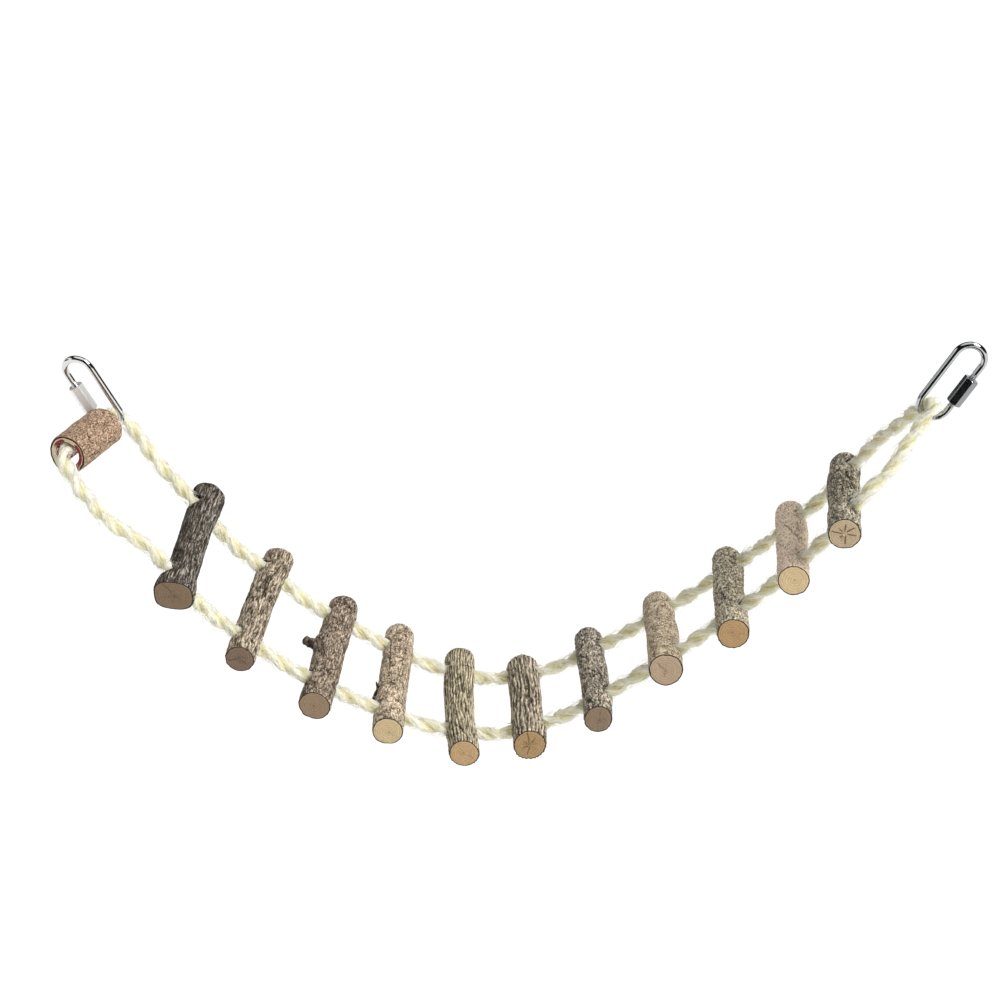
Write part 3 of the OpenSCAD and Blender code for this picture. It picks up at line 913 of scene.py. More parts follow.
# The eleven branch pieces, in mm, and in degrees round the piece.
# near, far: from the middle to each saw cut. r: radius at the near end, the middle and the far end.
# lump, bow: how uneven and how bent it is. kink, square: of the near end. saw: lean of each cut.
# knots: place, angle, height, length, width in degrees. bark: kind, scale or count, stretch, depth, seed.
# scars: place, angle, length, width, turn, depth. notches: place, angle, length, width, depth, turn.
# tones: dark, mid and light bark. heart: how dark the middle of the cuts is. checks, check_n: how open
# their cracks are, and how many at each end. stretch, relief, fleck: pattern, hollows, flecks of the bark.
RUNG_SPECS = [
    dict(near=36, far=37, r=(9.2, 6.8, 7.4), lump=0.35, bow=(0.3, 0.2), saw=((3, -6), (-4, 8)),
         square=(0.05, 40, -8), tear_front=1.4, tear_back=1.1,
         knots=[(-31, 120, 0.9, 5, 40), (-30, -30, 0.7, 6, 45), (34, 135, 0.9, 3, 45),
                (20, 70, 0.4, 5, 40)],
         bark=[("streak", 1.35, 0.07, 0.18, 1), ("fissure", 0.9, 0.12, 0.16, 3),
               ("pebble", 1.5, 0.35, 0.1, 2)],
         scars=[(-12, 115, 3, 0.8, 60, 0.25), (2, 95, 4, 0.35, 12, 0.2)],
         notches=[(-24, 150, 4.2, 2.6, 2.4, 15), (26, 140, 2.2, 2.4, 1.8, 40)],
         tones=((58, 50, 41), (98, 88, 77), (178, 170, 160)), bark_gain=0.64,
         face=(143, 122, 98), face_gain=0.9, heart=0.5, checks=0.35, check_n=(3, 4),
         stretch=0.09, relief=0.22, fleck=0.45, slot="bark_dark"),
    dict(near=39, far=38.5, r=(6.8, 6.6, 7.0), lump=0.4, bow=(-0.4, 0.3), saw=((2, 3), (3, -4)),
         knots=[(30, 130, 0.9, 3, 50), (-8, 60, 0.4, 6, 40)],
         bark=[("fissure", 0.62, 0.22, 0.42, 1), ("ridge", 0.5, 0.3, 0.25, 2)],
         scars=[(27, 120, 3.2, 0.7, 65, 0.8), (6, 70, 5, 0.4, 8, 0.4)],
         notches=[(26, 118, 1.0, 3.0, 1.3, 10)],
         tones=((84, 73, 58), (146, 132, 112), (206, 192, 172)), bark_gain=0.91,
         face=(122, 103, 87), face_gain=1.18, heart=0.3, checks=0.5, check_n=(5, 4),
         stretch=0.14, relief=0.28, fleck=0.6, slot="bark_brown"),
    dict(near=41.5, far=36, r=(7.5, 7.2, 7.0), lump=0.45, bow=(0.2, 0.4), saw=((-3, 2), (2, 3)),
         knots=[(2, 158, 1.3, 4.5, 34), (-28, 60, 0.5, 5, 40)],
         bark=[("pebble", 0.55, 0.5, 0.35, 1), ("fissure", 0.5, 0.35, 0.3, 2)],
         scars=[(-10, 100, 5, 0.4, 20, 0.35), (16, 80, 3, 0.5, 70, 0.4)],
         tones=((80, 66, 52), (142, 126, 108), (200, 184, 164)), bark_gain=0.79,
         face=(146, 125, 102), face_gain=1.19, heart=0.2, checks=0.12, check_n=(4, 3),
         stretch=0.3, relief=0.24, fleck=0.75, slot="bark_brown"),
    dict(near=38.5, far=38, r=(7.2, 7.0, 7.0), lump=0.35, bow=(-0.3, 0.2), saw=((2, 2), (-2, 3)),
         knots=[(-8, 165, 0.7, 3, 30), (22, 60, 0.5, 5, 40)],
         bark=[("wrinkle", 0.35, 2.2, 0.1, 1), ("pebble", 0.5, 0.6, 0.18, 2)],
         scars=[(10, 112, 9, 0.35, 4, 0.7), (27, 55, 4, 0.45, 12, 0.7), (-12, 80, 1.8, 0.25, 88, 0.25),
                (-3, 95, 2.2, 0.25, 86, 0.25), (18, 90, 2.2, 0.3, 85, 0.2)],
         tones=((108, 90, 70), (176, 158, 134), (226, 208, 184)), bark_gain=0.92,
         face=(199, 179, 142), face_gain=1.1, heart=0.15, checks=0.1, check_n=(3, 4),
         stretch=0.35, relief=0.26, fleck=0.7, slot="bark_tan"),
    dict(near=43.5, far=37, r=(6.9, 6.8, 7.0), lump=0.4, bow=(-0.6, 0.1), saw=((-4, 3), (3, 2)),
         kink=(1.4, 0, 16),
         knots=[(-24, 165, 1.0, 4, 40), (18, 30, 0.6, 5, 40)],
         bark=[("groove", 30, 1, 0.34, 1), ("fissure", 0.7, 0.1, 0.2, 2)],
         scars=[(-34, 95, 7, 0.45, 28, 0.7), (5, 80, 8, 0.3, 4, 0.4)],
         notches=[(-25, 160, 3, 2, 1.6, 0), (25, 158, 2.5, 2, 1.4, 0)],
         tones=((74, 66, 50), (138, 128, 106), (188, 178, 156)), bark_gain=1.6,
         face=(184, 155, 117), face_gain=1.14, heart=0.1, checks=0.2, check_n=(4, 5),
         stretch=0.12, relief=0.26, fleck=0.4, slot="bark_grey"),
    dict(near=41, far=32, r=(7.5, 7.3, 7.4), lump=0.3, bow=(0.2, 0.2), saw=((2, 2), (2, -2)),
         knots=[(-30, 45, 0.5, 6, 50)],
         bark=[("groove", 24, 1, 0.5, 1), ("fissure", 0.6, 0.06, 0.25, 2)],
         scars=[(-5, 82, 14, 0.5, 2, 0.7)],
         tones=((70, 62, 50), (134, 124, 106), (192, 180, 162)), bark_gain=1.58,
         face=(158, 133, 97), face_gain=1.18, heart=0.35, checks=0.6, check_n=(7, 4),
         stretch=0.12, relief=0.25, fleck=0.3, slot="bark_grey"),
    dict(near=44.5, far=38, r=(6.4, 6.5, 6.6), lump=0.35, bow=(0.5, 0.1), saw=((3, 2), (-2, 2)),
         knots=[(-20, 40, 0.6, 5, 40), (12, 150, 0.5, 5, 40)],
         bark=[("fissure", 0.7, 0.2, 0.35, 1), ("pebble", 0.9, 0.5, 0.18, 2)],
         scars=[(-15, 70, 5, 0.4, 10, 0.4)],
         tones=((70, 64, 54), (126, 118, 106), (176, 166, 150)), bark_gain=1.48,
         face=(136, 118, 100), face_gain=1.02, heart=0.3, checks=0.2, check_n=(4, 3),
         stretch=0.3, relief=0.3, fleck=0.5, slot="bark_dark"),
    dict(near=37.5, far=35, r=(7.8, 7.3, 7.0), lump=0.35, bow=(0.1, 0.3), saw=((-2, 2), (2, 2)),
         knots=[(-30, 100, 0.5, 4, 70), (20, 70, 0.5, 4, 40)],
         bark=[("wrinkle", 0.3, 3.0, 0.16, 1), ("wrinkle", 0.5, 1.5, 0.12, 5),
               ("pebble", 0.45, 0.8, 0.2, 2)],
         scars=[(24, 105, 1.8, 0.9, 30, 0.7), (18, 75, 1.6, 0.7, -30, 0.6), (-24, 55, 2.4, 0.35, 60, 0.45),
                (-27, 48, 2.4, 0.35, 62, 0.45), (-21, 62, 2.2, 0.3, 60, 0.4)],
         tones=((116, 100, 80), (178, 162, 138), (224, 208, 184)), bark_gain=1.38,
         face=(173, 153, 130), face_gain=1.16, heart=0.35, checks=0.4, check_n=(3, 4),
         stretch=0.5, relief=0.24, fleck=0.5, slot="bark_tan"),
    dict(near=44, far=37.5, r=(7.1, 7.0, 6.9), lump=0.4, bow=(-0.2, 0.2), saw=((3, 2), (-3, -3)),
         knots=[(22, 120, 0.7, 4, 40), (-26, 30, 0.6, 5, 40)],
         bark=[("pebble", 0.95, 0.55, 0.36, 1), ("wrinkle", 0.7, 1.0, 0.2, 2)],
         scars=[(27, 100, 2.6, 0.5, 50, 0.7), (23, 75, 2.4, 0.5, 50, 0.7), (-18, 120, 5, 0.5, 10, 0.4)],
         notches=[(-27, 42, 2.2, 3.0, 2.0, 20)],
         tones=((86, 78, 64), (150, 141, 122), (204, 196, 172)), bark_gain=1.21,
         face=(175, 145, 106), face_gain=1.08, heart=0.2, checks=0.2, check_n=(3, 4),
         stretch=0.4, relief=0.3, fleck=0.5, slot="bark_grey"),
    dict(near=38, far=37.5, r=(7.0, 6.9, 6.9), lump=0.35, bow=(0.3, 0.1), saw=((-2, 3), (2, 2)),
         knots=[(10, 40, 0.5, 5, 40)],
         bark=[("pebble", 1.1, 0.7, 0.2, 1), ("fissure", 0.4, 0.3, 0.22, 2)],
         scars=[(2, 100, 9, 0.4, 22, 0.6), (22, 70, 4, 0.4, -18, 0.45)],
         tones=((136, 117, 98), (206, 186, 164), (230, 215, 197)), bark_gain=2.5,
         face=(204, 183, 146), face_gain=1.18, heart=0.05, checks=0.05, check_n=(3, 4),
         stretch=0.4, relief=0.2, fleck=0.95, slot="bark_tan"),
    dict(near=43.5, far=35.5, r=(7.3, 7.2, 7.0), lump=0.45, bow=(-0.3, 0.3), saw=((2, -3), (2, 3)),
         knots=[(-25, 60, 0.6, 5, 40), (18, 120, 0.7, 5, 40)],
         bark=[("fissure", 0.85, 0.35, 0.4, 1), ("pebble", 0.7, 0.5, 0.3, 2)],
         scars=[(8, 80, 5, 0.5, 10, 0.5)],
         tones=((78, 70, 56), (140, 131, 114), (190, 182, 164)), bark_gain=1.14,
         face=(161, 145, 120), face_gain=1.54, heart=0.3, pith_tone=1.6, checks=0.95, check_n=(7, 6),
         stretch=0.35, relief=0.42, fleck=0.7, slot="bark_dark"),
]


def rung_mats(i, spec):
    """A rung's own bark and its own end grain."""
    spread = 0.62, 0.98, 1.32
    tones = [shade(lin(t), g * spec["bark_gain"]) for g, t in zip(spread, spec["tones"])]
    bark = bark_material("bark_%02d" % (i + 1), *tones, spec["stretch"], spec["fleck"], spec["relief"])
    pith = 0.6 * math.cos(i * 2.1), 0.6 * math.sin(i * 1.7)
    face = shade(lin(spec["face"]), spec["face_gain"])
    pith_tone = spec.get("pith_tone", 0.4)
    cut = cut_material("cut_%02d" % (i + 1), face, spec["heart"], spec["checks"], pith, pith_tone)
    return [bark, cut]


for i, spec in enumerate(RUNG_SPECS):
    rung(i, spec, rung_mats(i, spec))


# ---------------------------------------------------------------- twig, splinter and thorn
def taper(name, body, line, radii, seed, mat, rough, cols):
    """A crooked tapering piece along a line, closed at both ends."""
    pts, s = resample(crom(line, 8), 0.22)
    radius = np.interp(s / s[-1], np.linspace(0, 1, len(radii)), radii)
    t, e1, e2 = transport(pts)
    s_grid, angle = np.meshgrid(s, angles(cols), indexing="ij")
    place = np.stack([np.cos(angle) * 2, np.sin(angle) * 2, s_grid + 9 * seed], -1)
    lumps = fbm(scaled(place, 1.0, 0.7), 3, seed)
    skin = around(pts, radius[:, None] * (1 + rough * 2 * lumps), angle, e1, e2)
    mesh = Gather()
    mesh.add(skin, rc=place, h=np.clip(0.55 + 0.9 * lumps, 0, 1))
    tips = [pts[0] - 0.1 * t[0], pts[-1] + 0.35 * radius[-1] * t[-1]]
    mesh.add(tips, rc=[[0, 0, 0], [0, 0, s[-1]]], h=0.4)
    ob = mesh.build(name, grid_quads(len(pts), cols), end_fans(len(pts), cols), [mat])
    bind(ob, body, None)


TWIG = bark_material("bark_twig", lin((44, 36, 30)), lin((74, 64, 54)), lin((120, 108, 94)), 0.6, 0.5)
THORN = bark_material("bark_thorn", lin((26, 24, 24)), lin((44, 40, 38)), lin((80, 74, 68)), 0.3, 0.3)
WOOD = bark_material("wood_splinter", lin((170, 150, 118)), lin((214, 198, 168)), lin((240, 230, 208)),
                     0.1, 0.1)


def crooked(mid, way, *steps):
    """Points out from mid along way, each step with how far it goes and an offset of its own."""
    return [mid + far * way + np.array(offset) for far, offset in steps]


stub_at, stub_way = RUNG_MID[2] + 3 * RUNG_AXIS[2], unit([-0.93, -0.2, 0.32])
taper("rung_03_twig_stub", "step_03",
      crooked(stub_at, stub_way, (4.5, [0, 0, 0]), (7, [0, 0, 0]), (9.6, [0, 0, 0.3]), (13.6, [0, 0.3, 1.6])),
      [3.9, 3.1, 2.5, 2.2, 1.8], 5, TWIG, 0.2, 28)
taper("rung_03_splinter", "step_03",
      crooked(stub_at, stub_way, (6.5, [0, -2.6, -0.6]), (8, [0, -5.2, -2.6]), (9.6, [-0.6, -7.8, -6.2])),
      [0.75, 0.6, 0.22], 6, WOOD, 0.1, 14)
thorn_at, thorn_way = RUNG_MID[3] - 8 * RUNG_AXIS[3], unit([-0.8, -0.5, 0.33])
taper("rung_04_thorn", "step_04",
      crooked(thorn_at, thorn_way, (5.6, [0, 0, 0]), (8.4, [0, 0, 0]), (9.4, [-1.0, -0.4, -2.6]),
              (9.6, [-2.0, -0.8, -5.0]), (9.8, [-5.0, -1.2, -6.6])),
      [1.5, 1.2, 0.95, 0.8, 0.4], 7, THORN, 0.15, 16)
taper("rung_04_spur", "step_04",
      crooked(thorn_at, thorn_way, (6.0, [0, 0.8, 1.0]), (8.4, [-0.2, 1.0, 2.4]), (9.0, [-0.4, 1.2, 4.6])),
      [0.9, 0.7, 0.3], 8, THORN, 0.15, 14)

# ---------------------------------------------------------------- C-shaped sleeve
YAW = math.radians(20.8)
SLEEVE_AXIS = np.array([math.sin(YAW), math.cos(YAW), 0])
SLEEVE_X = np.array([math.cos(YAW), -math.sin(YAW), 0])
SLEEVE_Z = np.array([0, 0, 1.0])
SLEEVE_HALF, SLEEVE_SAW = 16.25, (4, -3)
OUTER_N, INNER_N = 150, 90  # points of the outline on the bark and in the channel
WALL_RINGS = 12


def sleeve_cut_material():
    """Pale end grain with its rings, crimson where attribute red says, and the dark line of the bark."""
    m = Mat("sleeve_cut")
    place = m.attr("rc")
    grain = m.noise(place, 1.6, 4, 0.6)
    length = m.vector("LENGTH", m.along(place, 0), out="Value")
    rings = m.math("SINE", length * 7.0 + grain * 3.0)
    colour = m.mix(rings * 0.3 + 0.4, lin((232, 214, 184)), lin((196, 168, 132)))
    colour = m.mix(m.rise(grain, 0.55, 0.75), colour, lin((172, 140, 108)))
    crimson = m.mix(m.rise(grain, 0.35, 0.65), lin((112, 26, 38)), lin((152, 52, 60)))
    colour = m.mix(m.rise(m.attr("red"), 0.1, 0.5), colour, crimson)
    colour = m.mix(m.rise(m.attr("rho"), 0.70, 0.77), colour, lin((34, 27, 24)))
    m.bump(grain, 0.5, 0.0003)
    return m.done(colour, 0.8)


def channel_material():
    """The crimson stain of the channel, worn to bare wood in patches."""
    m = Mat("sleeve_channel")
    place = m.attr("rc")
    fibre = m.noise(m.along(place, 0.2), 1.8, 4, 0.65)
    patch = m.noise(place, 0.5, 2, 0.5)
    colour = m.ramp(fibre, (0.3, lin((92, 24, 30))), (0.5, lin((136, 38, 46))), (0.72, lin((168, 74, 70))))
    bare = m.fall(m.attr("red") * 0.8 + patch * 0.3, 0.22, 0.42)
    m.bump(fibre, 0.7, 0.0004)
    return m.done(m.mix(bare, colour, lin((184, 150, 116))), 0.75)


def channel_outline():
    """The channel in section, from the left lip over the top to the right lip."""
    radius, rise, lip_z = 5.75, 0.4, -7.1
    a = np.linspace(math.radians(227), math.radians(-47), INNER_N - 16)
    arc = np.stack([radius * np.cos(a), radius * np.sin(a) + rise], -1)
    arc[:, 0] += 0.4 * np.clip(arc[:, 0] / radius, 0, 1) ** 2
    left = np.linspace([-4.9, lip_z], arc[0], 9)[:-1]
    return np.vstack([left, arc, np.linspace(arc[-1], [5.0, lip_z], 9)[1:]])


def sleeve_place(section, along):
    """Points of the sleeve from their place in its section and along it."""
    across = section[..., :1] * SLEEVE_X + section[..., 1:] * SLEEVE_Z
    return across + along[..., None] * SLEEVE_AXIS + ORIGIN


def sleeve_lean(s, section):
    """How far the saw cuts, which lean, pull a point along the sleeve."""
    pull = smooth(np.abs(s) / SLEEVE_HALF, 0.5, 1) * np.sign(s)
    return pull * slope(SLEEVE_SAW, section[..., 0], section[..., 1]) * 0.6


def stain(end, f, theta):
    """Where a saw cut is crimson, at the fraction f of the wall from the bark to the channel."""
    if end == 1:
        return smooth(f, 0.75, 1.0) * 0.5
    degrees = np.degrees(theta)
    arm = smooth(f, 0.34, 0.48) * (1 - smooth(degrees, 38, 62))
    top = smooth(f, 0.40, 0.60) * smooth(degrees, 92, 104) * (1 - smooth(degrees, 138, 160))
    return np.clip(arm + top, 0, 1)


def sleeve_skin(s, theta):
    """The sleeve's section at each place along it, bark then channel, and the lightness of its bark."""
    along, angle = np.meshgrid(s, theta, indexing="ij")
    ring = np.stack([9.4 * np.cos(angle), 9.4 * np.sin(angle), along], -1)
    warp = np.stack([noise(ring * 0.25, 901), noise(ring * 0.25, 902), noise(ring * 0.2, 903)], -1)
    q = ring + 0.8 * warp
    pebble = fbm(scaled(q, 1.35, 1.0), 3, 910)
    crack = ridged(scaled(q, 0.45, 0.2), 915, 0.1) * smooth(noise(ring * 0.15, 917), -0.2, 0.3)
    r = 9.25 + 0.45 * fbm(ring * 0.12, 2, 920) + 0.24 * pebble - 0.3 * crack
    r = r - 0.3 * (1 - smooth(SLEEVE_HALF - np.abs(along), 0, 0.6))
    channel = np.repeat(channel_outline()[None], len(s), 0)
    ripple = noise_at(channel[..., 0] * 0.4, channel[..., 1] * 0.4, s[:, None] * 0.35, 930)
    channel = channel + 0.14 * ripple[..., None] * unit([1, 1])
    section = np.concatenate([np.stack([r * np.cos(angle), r * np.sin(angle)], -1), channel], 1)
    return section, np.clip(0.6 + 0.5 * pebble - 0.45 * crack, 0, 1)


def three_cornered(quads, mat_of):
    """Take the faces with a doubled corner out of the quads, as triangles."""
    bad = (quads == np.roll(quads, -1, 1)).any(1)
    found = [(list(dict.fromkeys(f)), m) for f, m in zip(quads[bad].tolist(), mat_of[bad])]
    found = [(ids, m) for ids, m in found if len(ids) == 3]
    tris, tri_mats = [ids for ids, _ in found], [m for _, m in found]
    return quads[~bad], tris, np.concatenate([mat_of[~bad], tri_mats]).astype(int)


def sleeve():
    """C-shaped piece of branch: bark outside, a red-stained channel inside, pale wood at the saw cuts."""
    rows, cols = 130, OUTER_N + INNER_N
    s = np.linspace(-SLEEVE_HALF, SLEEVE_HALF, rows)
    theta = np.linspace(math.radians(-56), math.radians(236), OUTER_N)
    section, light = sleeve_skin(s, theta)
    place = np.concatenate([section, np.repeat(s[:, None, None], cols, 1)], -1)
    worn = np.clip(0.55 + 0.8 * fbm(scaled(place, 0.22, 0.12), 2, 940), 0, 1) * (np.arange(cols) >= OUTER_N)
    light = np.concatenate([light, np.full((rows, INNER_N), 0.5)], 1)
    mesh = Gather()
    mesh.add(sleeve_place(section, s[:, None] + sleeve_lean(s[:, None], section)), rc=place, h=light,
             rho=1, red=worn)
    quads = [grid_quads(rows, cols)]
    mat_of = [np.where(np.tile(np.arange(cols), rows - 1) >= OUTER_N - 1, 2, 0)]
    pick = np.round(np.linspace(INNER_N - 1, 0, OUTER_N)).astype(int)
    for end, row, sign in ((0, 0, -1), (1, rows - 1, 1)):
        outer, inner = section[row, :OUTER_N], section[row, OUTER_N:][pick]
        prev = row * cols + np.arange(OUTER_N)
        for n in range(1, WALL_RINGS + 1):
            f = n / WALL_RINGS
            if n < WALL_RINGS:
                p = outer * (1 - f) + inner * f
                rough = 0.12 * noise_at(p[:, 0] * 0.9, p[:, 1] * 0.9, 3.0 + end, 950)
                rough = rough + 0.14 * smooth(f, 0, 0.15) * (1 - smooth(f, 0.85, 1))
                at = sleeve_place(p, s[row] + sleeve_lean(s[row], p) + sign * rough)
                place = np.concatenate([p, np.full((OUTER_N, 1), s[row])], 1)
                cur = mesh.add(at, rc=place, h=0.5, rho=1 - f, red=stain(end, f, theta))
            else:
                cur = row * cols + OUTER_N + pick
            strip = np.stack([prev[:-1], cur[:-1], cur[1:], prev[1:]], -1)
            quads.append(strip if end == 1 else strip[:, ::-1])
            mat_of.append(np.full(OUTER_N - 1, 1))
            prev = cur
    # where two points of the bark meet one point of the channel the face is a triangle
    quads, tris, mat_of = three_cornered(np.vstack(quads), np.concatenate(mat_of))
    bark = bark_material("bark_sleeve", lin((92, 70, 52)), lin((158, 130, 106)), lin((214, 188, 162)),
                         0.7, 1.0, 0.34)
    rims = [first + np.arange(n) for k, n in ((0, OUTER_N), (OUTER_N, INNER_N))
            for first in (k, (rows - 1) * cols + k)]
    mats = [bark, sleeve_cut_material(), channel_material()]
    ob = mesh.build("sleeve_bark", quads, tris, mats, mat_of, rims)
    bind(ob, "left_end", "sleeve_log")


sleeve()

# ---------------------------------------------------------------- quick links
WIRE_R, LINK_BEND, LINK_LEG = 1.6, 6.9, 25.0
LINK_TOP = LINK_BEND + LINK_LEG
NUT_LEN, NUT_DROP, NUT_FLATS = 14.0, 6.8, 6.4
NUT_FOOT = LINK_TOP - NUT_DROP - NUT_LEN
GATE, GRIP = 5.4, 2.2  # the opening, and how far the nut holds the wire below it
GATE_FOOT = NUT_FOOT + GRIP
PITCH, BORE = 0.7, WIRE_R + 0.06
CLEAR = 0.35  # between the left link and its rope


def link_frame(side):
    """A link's foot and its x, y and z ways: across the link, through it and up its legs."""
    if side == "left":
        up = unit([-0.42, -0.12, 0.9])
        through = np.cross(SLEEVE_AXIS, up)
        drop = (ROPE_R + WIRE_R + CLEAR) / np.linalg.norm(through)
        foot = 21.5 * SLEEVE_AXIS + np.array([0, 0, 2.5]) - drop * up + ORIGIN
        return foot, unit(through), np.cross(up, unit(through)), up
    up = unit([0.524, 0, 0.852])
    return np.array([378.1, 0, 12.5]) + ORIGIN, -np.cross([0, 1, 0], up), np.array([0, -1.0, 0]), up


def placed(p, frame_of):
    foot, x, y, z = frame_of
    return foot + p[..., :1] * x + p[..., 1:2] * y + p[..., 2:] * z


def thread(along, angle):
    """A screw thread's ridge, from 0 to 1."""
    return np.abs(((along / PITCH - angle / TURN) % 1) - 0.5) * 2


def settle(ob, crease=None):
    """Turn all faces outwards and, above the angle crease, keep edges crisp."""
    bm = bmesh.new()
    bm.from_mesh(ob.data)
    bmesh.ops.recalc_face_normals(bm, faces=bm.faces)
    for e in bm.edges:
        if crease and len(e.link_faces) == 2 and e.calc_face_angle(0) > crease:
            e.smooth = False
    bm.to_mesh(ob.data)
    bm.free()


def wire_route():
    """The wire's middle line, from the closed side of the gate round both bends to its open side."""
    a = np.linspace(0, math.pi, 60)[:-1]
    bend = np.stack([np.cos(a), 0 * a, np.sin(a)], -1) * LINK_BEND

    def straight(x, z0, z1, n):
        return np.linspace([x, 0, z0], [x, 0, z1], n)

    return np.vstack([
        straight(-LINK_BEND, GATE_FOOT, LINK_BEND, 90)[:-1], np.array([0, 0, LINK_BEND]) - bend,
        straight(LINK_BEND, LINK_BEND, LINK_TOP, 50)[:-1], np.array([0, 0, LINK_TOP]) + bend,
        straight(-LINK_BEND, LINK_TOP, GATE_FOOT + GATE, 120)])


def link_wire(side, metal):
    """One bent wire with a thread at each side of the gate."""
    route, cols = wire_route(), 40
    d = lengths(route)
    end = d[-1]
    # fine steps where it is threaded, coarse steps elsewhere
    s = np.unique(np.r_[0, 0.12, 0.24, np.arange(0.35, 6.5, 0.09), np.arange(6.6, end - 9.1, 0.45),
                        np.arange(end - 9.0, end - 0.35, 0.09), end - 0.24, end - 0.12, end])
    p = points_at(route, d, s)
    y = np.repeat([[0, 1.0, 0]], len(p), 0)
    s_grid, angle = np.meshgrid(s, angles(cols), indexing="ij")
    threaded = np.clip(smooth(s_grid, end - 9.0, end - 8.6) + (1 - smooth(s_grid, 3.6, 4.0)), 0, 1)
    r = WIRE_R - threaded * 0.20 * thread(s_grid, angle)
    r = r - np.clip(0.35 - np.minimum(s_grid, end - s_grid), 0, 0.35)
    skin = around(p, r, angle, np.cross(y, tangents(p)), y)
    verts = np.vstack([skin.reshape(-1, 3), p[0], p[-1]])
    rims = [np.arange(cols), (len(p) - 1) * cols + np.arange(cols)]
    ob = build("%s_link_wire" % side, placed(verts, link_frame(side)), grid_quads(len(p), cols),
               end_fans(len(p), cols), [metal], sharp=rims)
    settle(ob)
    bind(ob, "%s_link" % side, "%s_link" % side)


def nut(side, metal):
    """Hexagon sleeve nut: flats with softened corners, turned chamfers at both ends and a threaded bore."""
    cols = 144
    a = angles(cols)
    flat = (a + math.pi / 6) % (math.pi / 3) - math.pi / 6
    hexagon = np.minimum(NUT_FLATS / 2 / np.cos(flat), NUT_FLATS / 2 / math.cos(math.pi / 6) - 0.13)
    rings = []
    for z in np.r_[0, 0.06, 0.15, np.linspace(0.3, 1.0, 8), np.linspace(1.3, NUT_LEN - 1.3, 24),
                   np.linspace(NUT_LEN - 1.0, NUT_LEN - 0.3, 8), NUT_LEN - 0.15, NUT_LEN - 0.06, NUT_LEN]:
        e = min(z, NUT_LEN - z)
        chamfer = NUT_FLATS / 2 - 0.1 + e * 1.1
        rings.append((np.minimum(hexagon, chamfer) - 0.05 * max(0.0, 1 - e / 0.12), z))
    rings += [(BORE + 0.75, NUT_LEN), (BORE + 0.30, NUT_LEN - 0.02)]
    for z in np.linspace(NUT_LEN, 0, 170):
        e = min(z, NUT_LEN - z)
        rings.append((BORE + 0.16 * thread(z, a) * min(1, e / 0.5) + 0.25 * max(0, 1 - e / 0.3), z))
    rings += [(BORE + 0.30, 0.02), (BORE + 0.75, 0.0)]
    p = np.array([np.stack([r * np.cos(a), r * np.sin(a), np.full(cols, z)], -1) for r, z in rings])
    p = (p + [-LINK_BEND, 0, NUT_FOOT]).reshape(-1, 3)
    first, last = np.arange(cols), len(p) - cols + np.arange(cols)
    closing = np.stack([last, np.roll(last, -1), np.roll(first, -1), first], -1)
    quads = np.vstack([grid_quads(len(rings), cols), closing])
    ob = build("%s_sleeve_nut" % side, placed(p, link_frame(side)), quads, mats=[metal])
    settle(ob, crease=math.radians(16))
    bind(ob, "%s_nut" % side, "%s_nut" % side)


link_wire("left", chrome_material("link_chrome_left", (226, 226, 226), 0.045, 0.5))
link_wire("right", chrome_material("link_chrome_right", (196, 198, 200), 0.045, 0.5))
# painted reflection: the same nut twice, the left near-white and part matte to stand for reflected light, the
# right dark grey to stand for the reflected dark room
nut("left", chrome_material("nut_chrome_left_painted_bright", (250, 250, 248), 0.30, 0.7, metal=0.45))
nut("right", chrome_material("nut_chrome_right_painted_dark", (150, 152, 156), 0.12, 0.7))


# ---------------------------------------------------------------- floor, card, world and light
def add_floor(low):
    bpy.ops.mesh.primitive_plane_add(size=30, location=(0.17, 0, low - 0.45))
    floor = bpy.context.object
    floor.name = "floor"
    paper = grey_material("floor_paper", 1.3, 0.5, lin((244, 244, 243)), lin((250, 250, 249)), specular=0.1)
    floor.data.materials.append(paper)


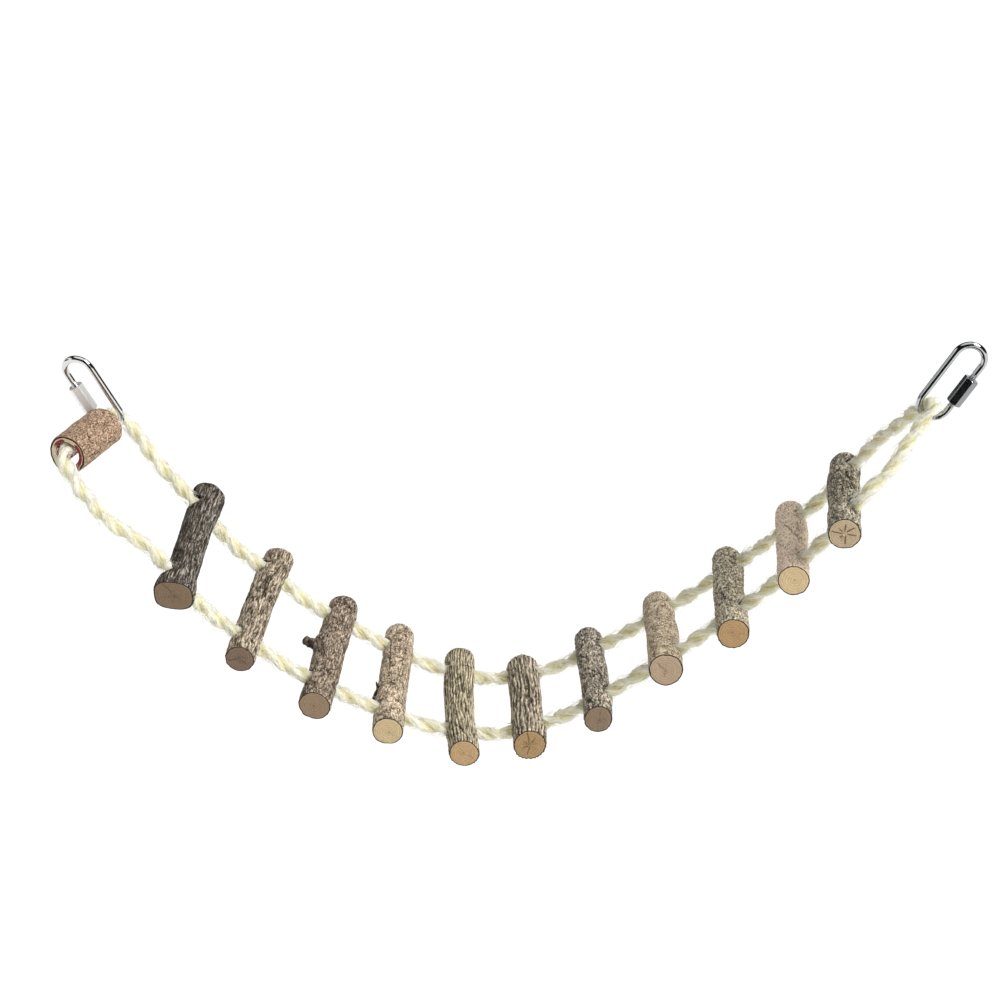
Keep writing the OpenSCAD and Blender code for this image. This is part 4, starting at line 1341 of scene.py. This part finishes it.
def add_card(low):
    """A black card in front of the camera's foot, which only the steel's reflections see."""
    x0, x1, y0, y1, z0, z1 = -300, 620, -330, -1150, 1000 * low - 330, 150
    black = grey_material("card_black", 6.0, 0.6, (0.008, 0.008, 0.009), (0.016, 0.016, 0.017))
    corners = [[x0, y0, z0], [x1, y0, z0], [x1, y1, z0], [x0, y1, z0], [x0, y1, z1], [x1, y1, z1]]
    card = build("black_card", corners, [[0, 1, 2, 3], [3, 2, 5, 4]], mats=[black])
    card.visible_camera = card.visible_diffuse = card.visible_shadow = card.visible_transmission = False


def add_world():
    """A white studio, darker on the left. In gloss, also the dark room between its soft boxes."""
    world = bpy.data.worlds.new("studio")
    bpy.context.scene.world = world
    world.use_nodes = True
    n = Nodes(world.node_tree)
    x, _, z = n.split(n.place("Generated"))
    side, height = x * 0.5 + 0.5, z * 0.5 + 0.5
    soft = n.ramp(side, (0.1, 0.36), (0.5, 0.62), (0.9, 0.96))
    band = n.ramp(height, (0.46, 1.0), (0.49, 0.015), (0.90, 0.015), (0.93, 1.0))
    left_box = n.ramp(side, (0.0, 0.0), (0.02, 0.0), (0.04, 1.0), (0.09, 1.0), (0.11, 0.0))
    right_box = n.ramp(side, (0.67, 0.0), (0.69, 1.0), (0.79, 1.0), (0.81, 0.02))
    gloss = n.math("MAXIMUM", n.math("MAXIMUM", band, left_box), right_box)
    pick = n.new("ShaderNodeMix", data_type="FLOAT")
    is_gloss = n.out(n.new("ShaderNodeLightPath"), "Is Glossy Ray")
    for k, v in ((0, is_gloss), (2, soft), (3, gloss)):
        n.feed(pick.inputs[k], v)
    background = n.tree.nodes["Background"].inputs
    n.feed(background["Strength"], n.out(pick))
    n.feed(background["Color"], WHITE)


def add_key():
    """A broad sun from the upper left and in front."""
    sun = bpy.data.lights.new("key", "SUN")
    sun.energy, sun.angle, sun.color = 2.35, math.radians(28), (1, 0.985, 0.96)
    key = bpy.data.objects.new("key", sun)
    key.rotation_euler = Vector((-0.62, 0.30, -0.72)).to_track_quat("-Z", "Y").to_euler()
    bpy.context.scene.collection.objects.link(key)


add_floor(float(cad_box[0][2]))
add_card(float(cad_box[0][2]))
add_world()
add_key()
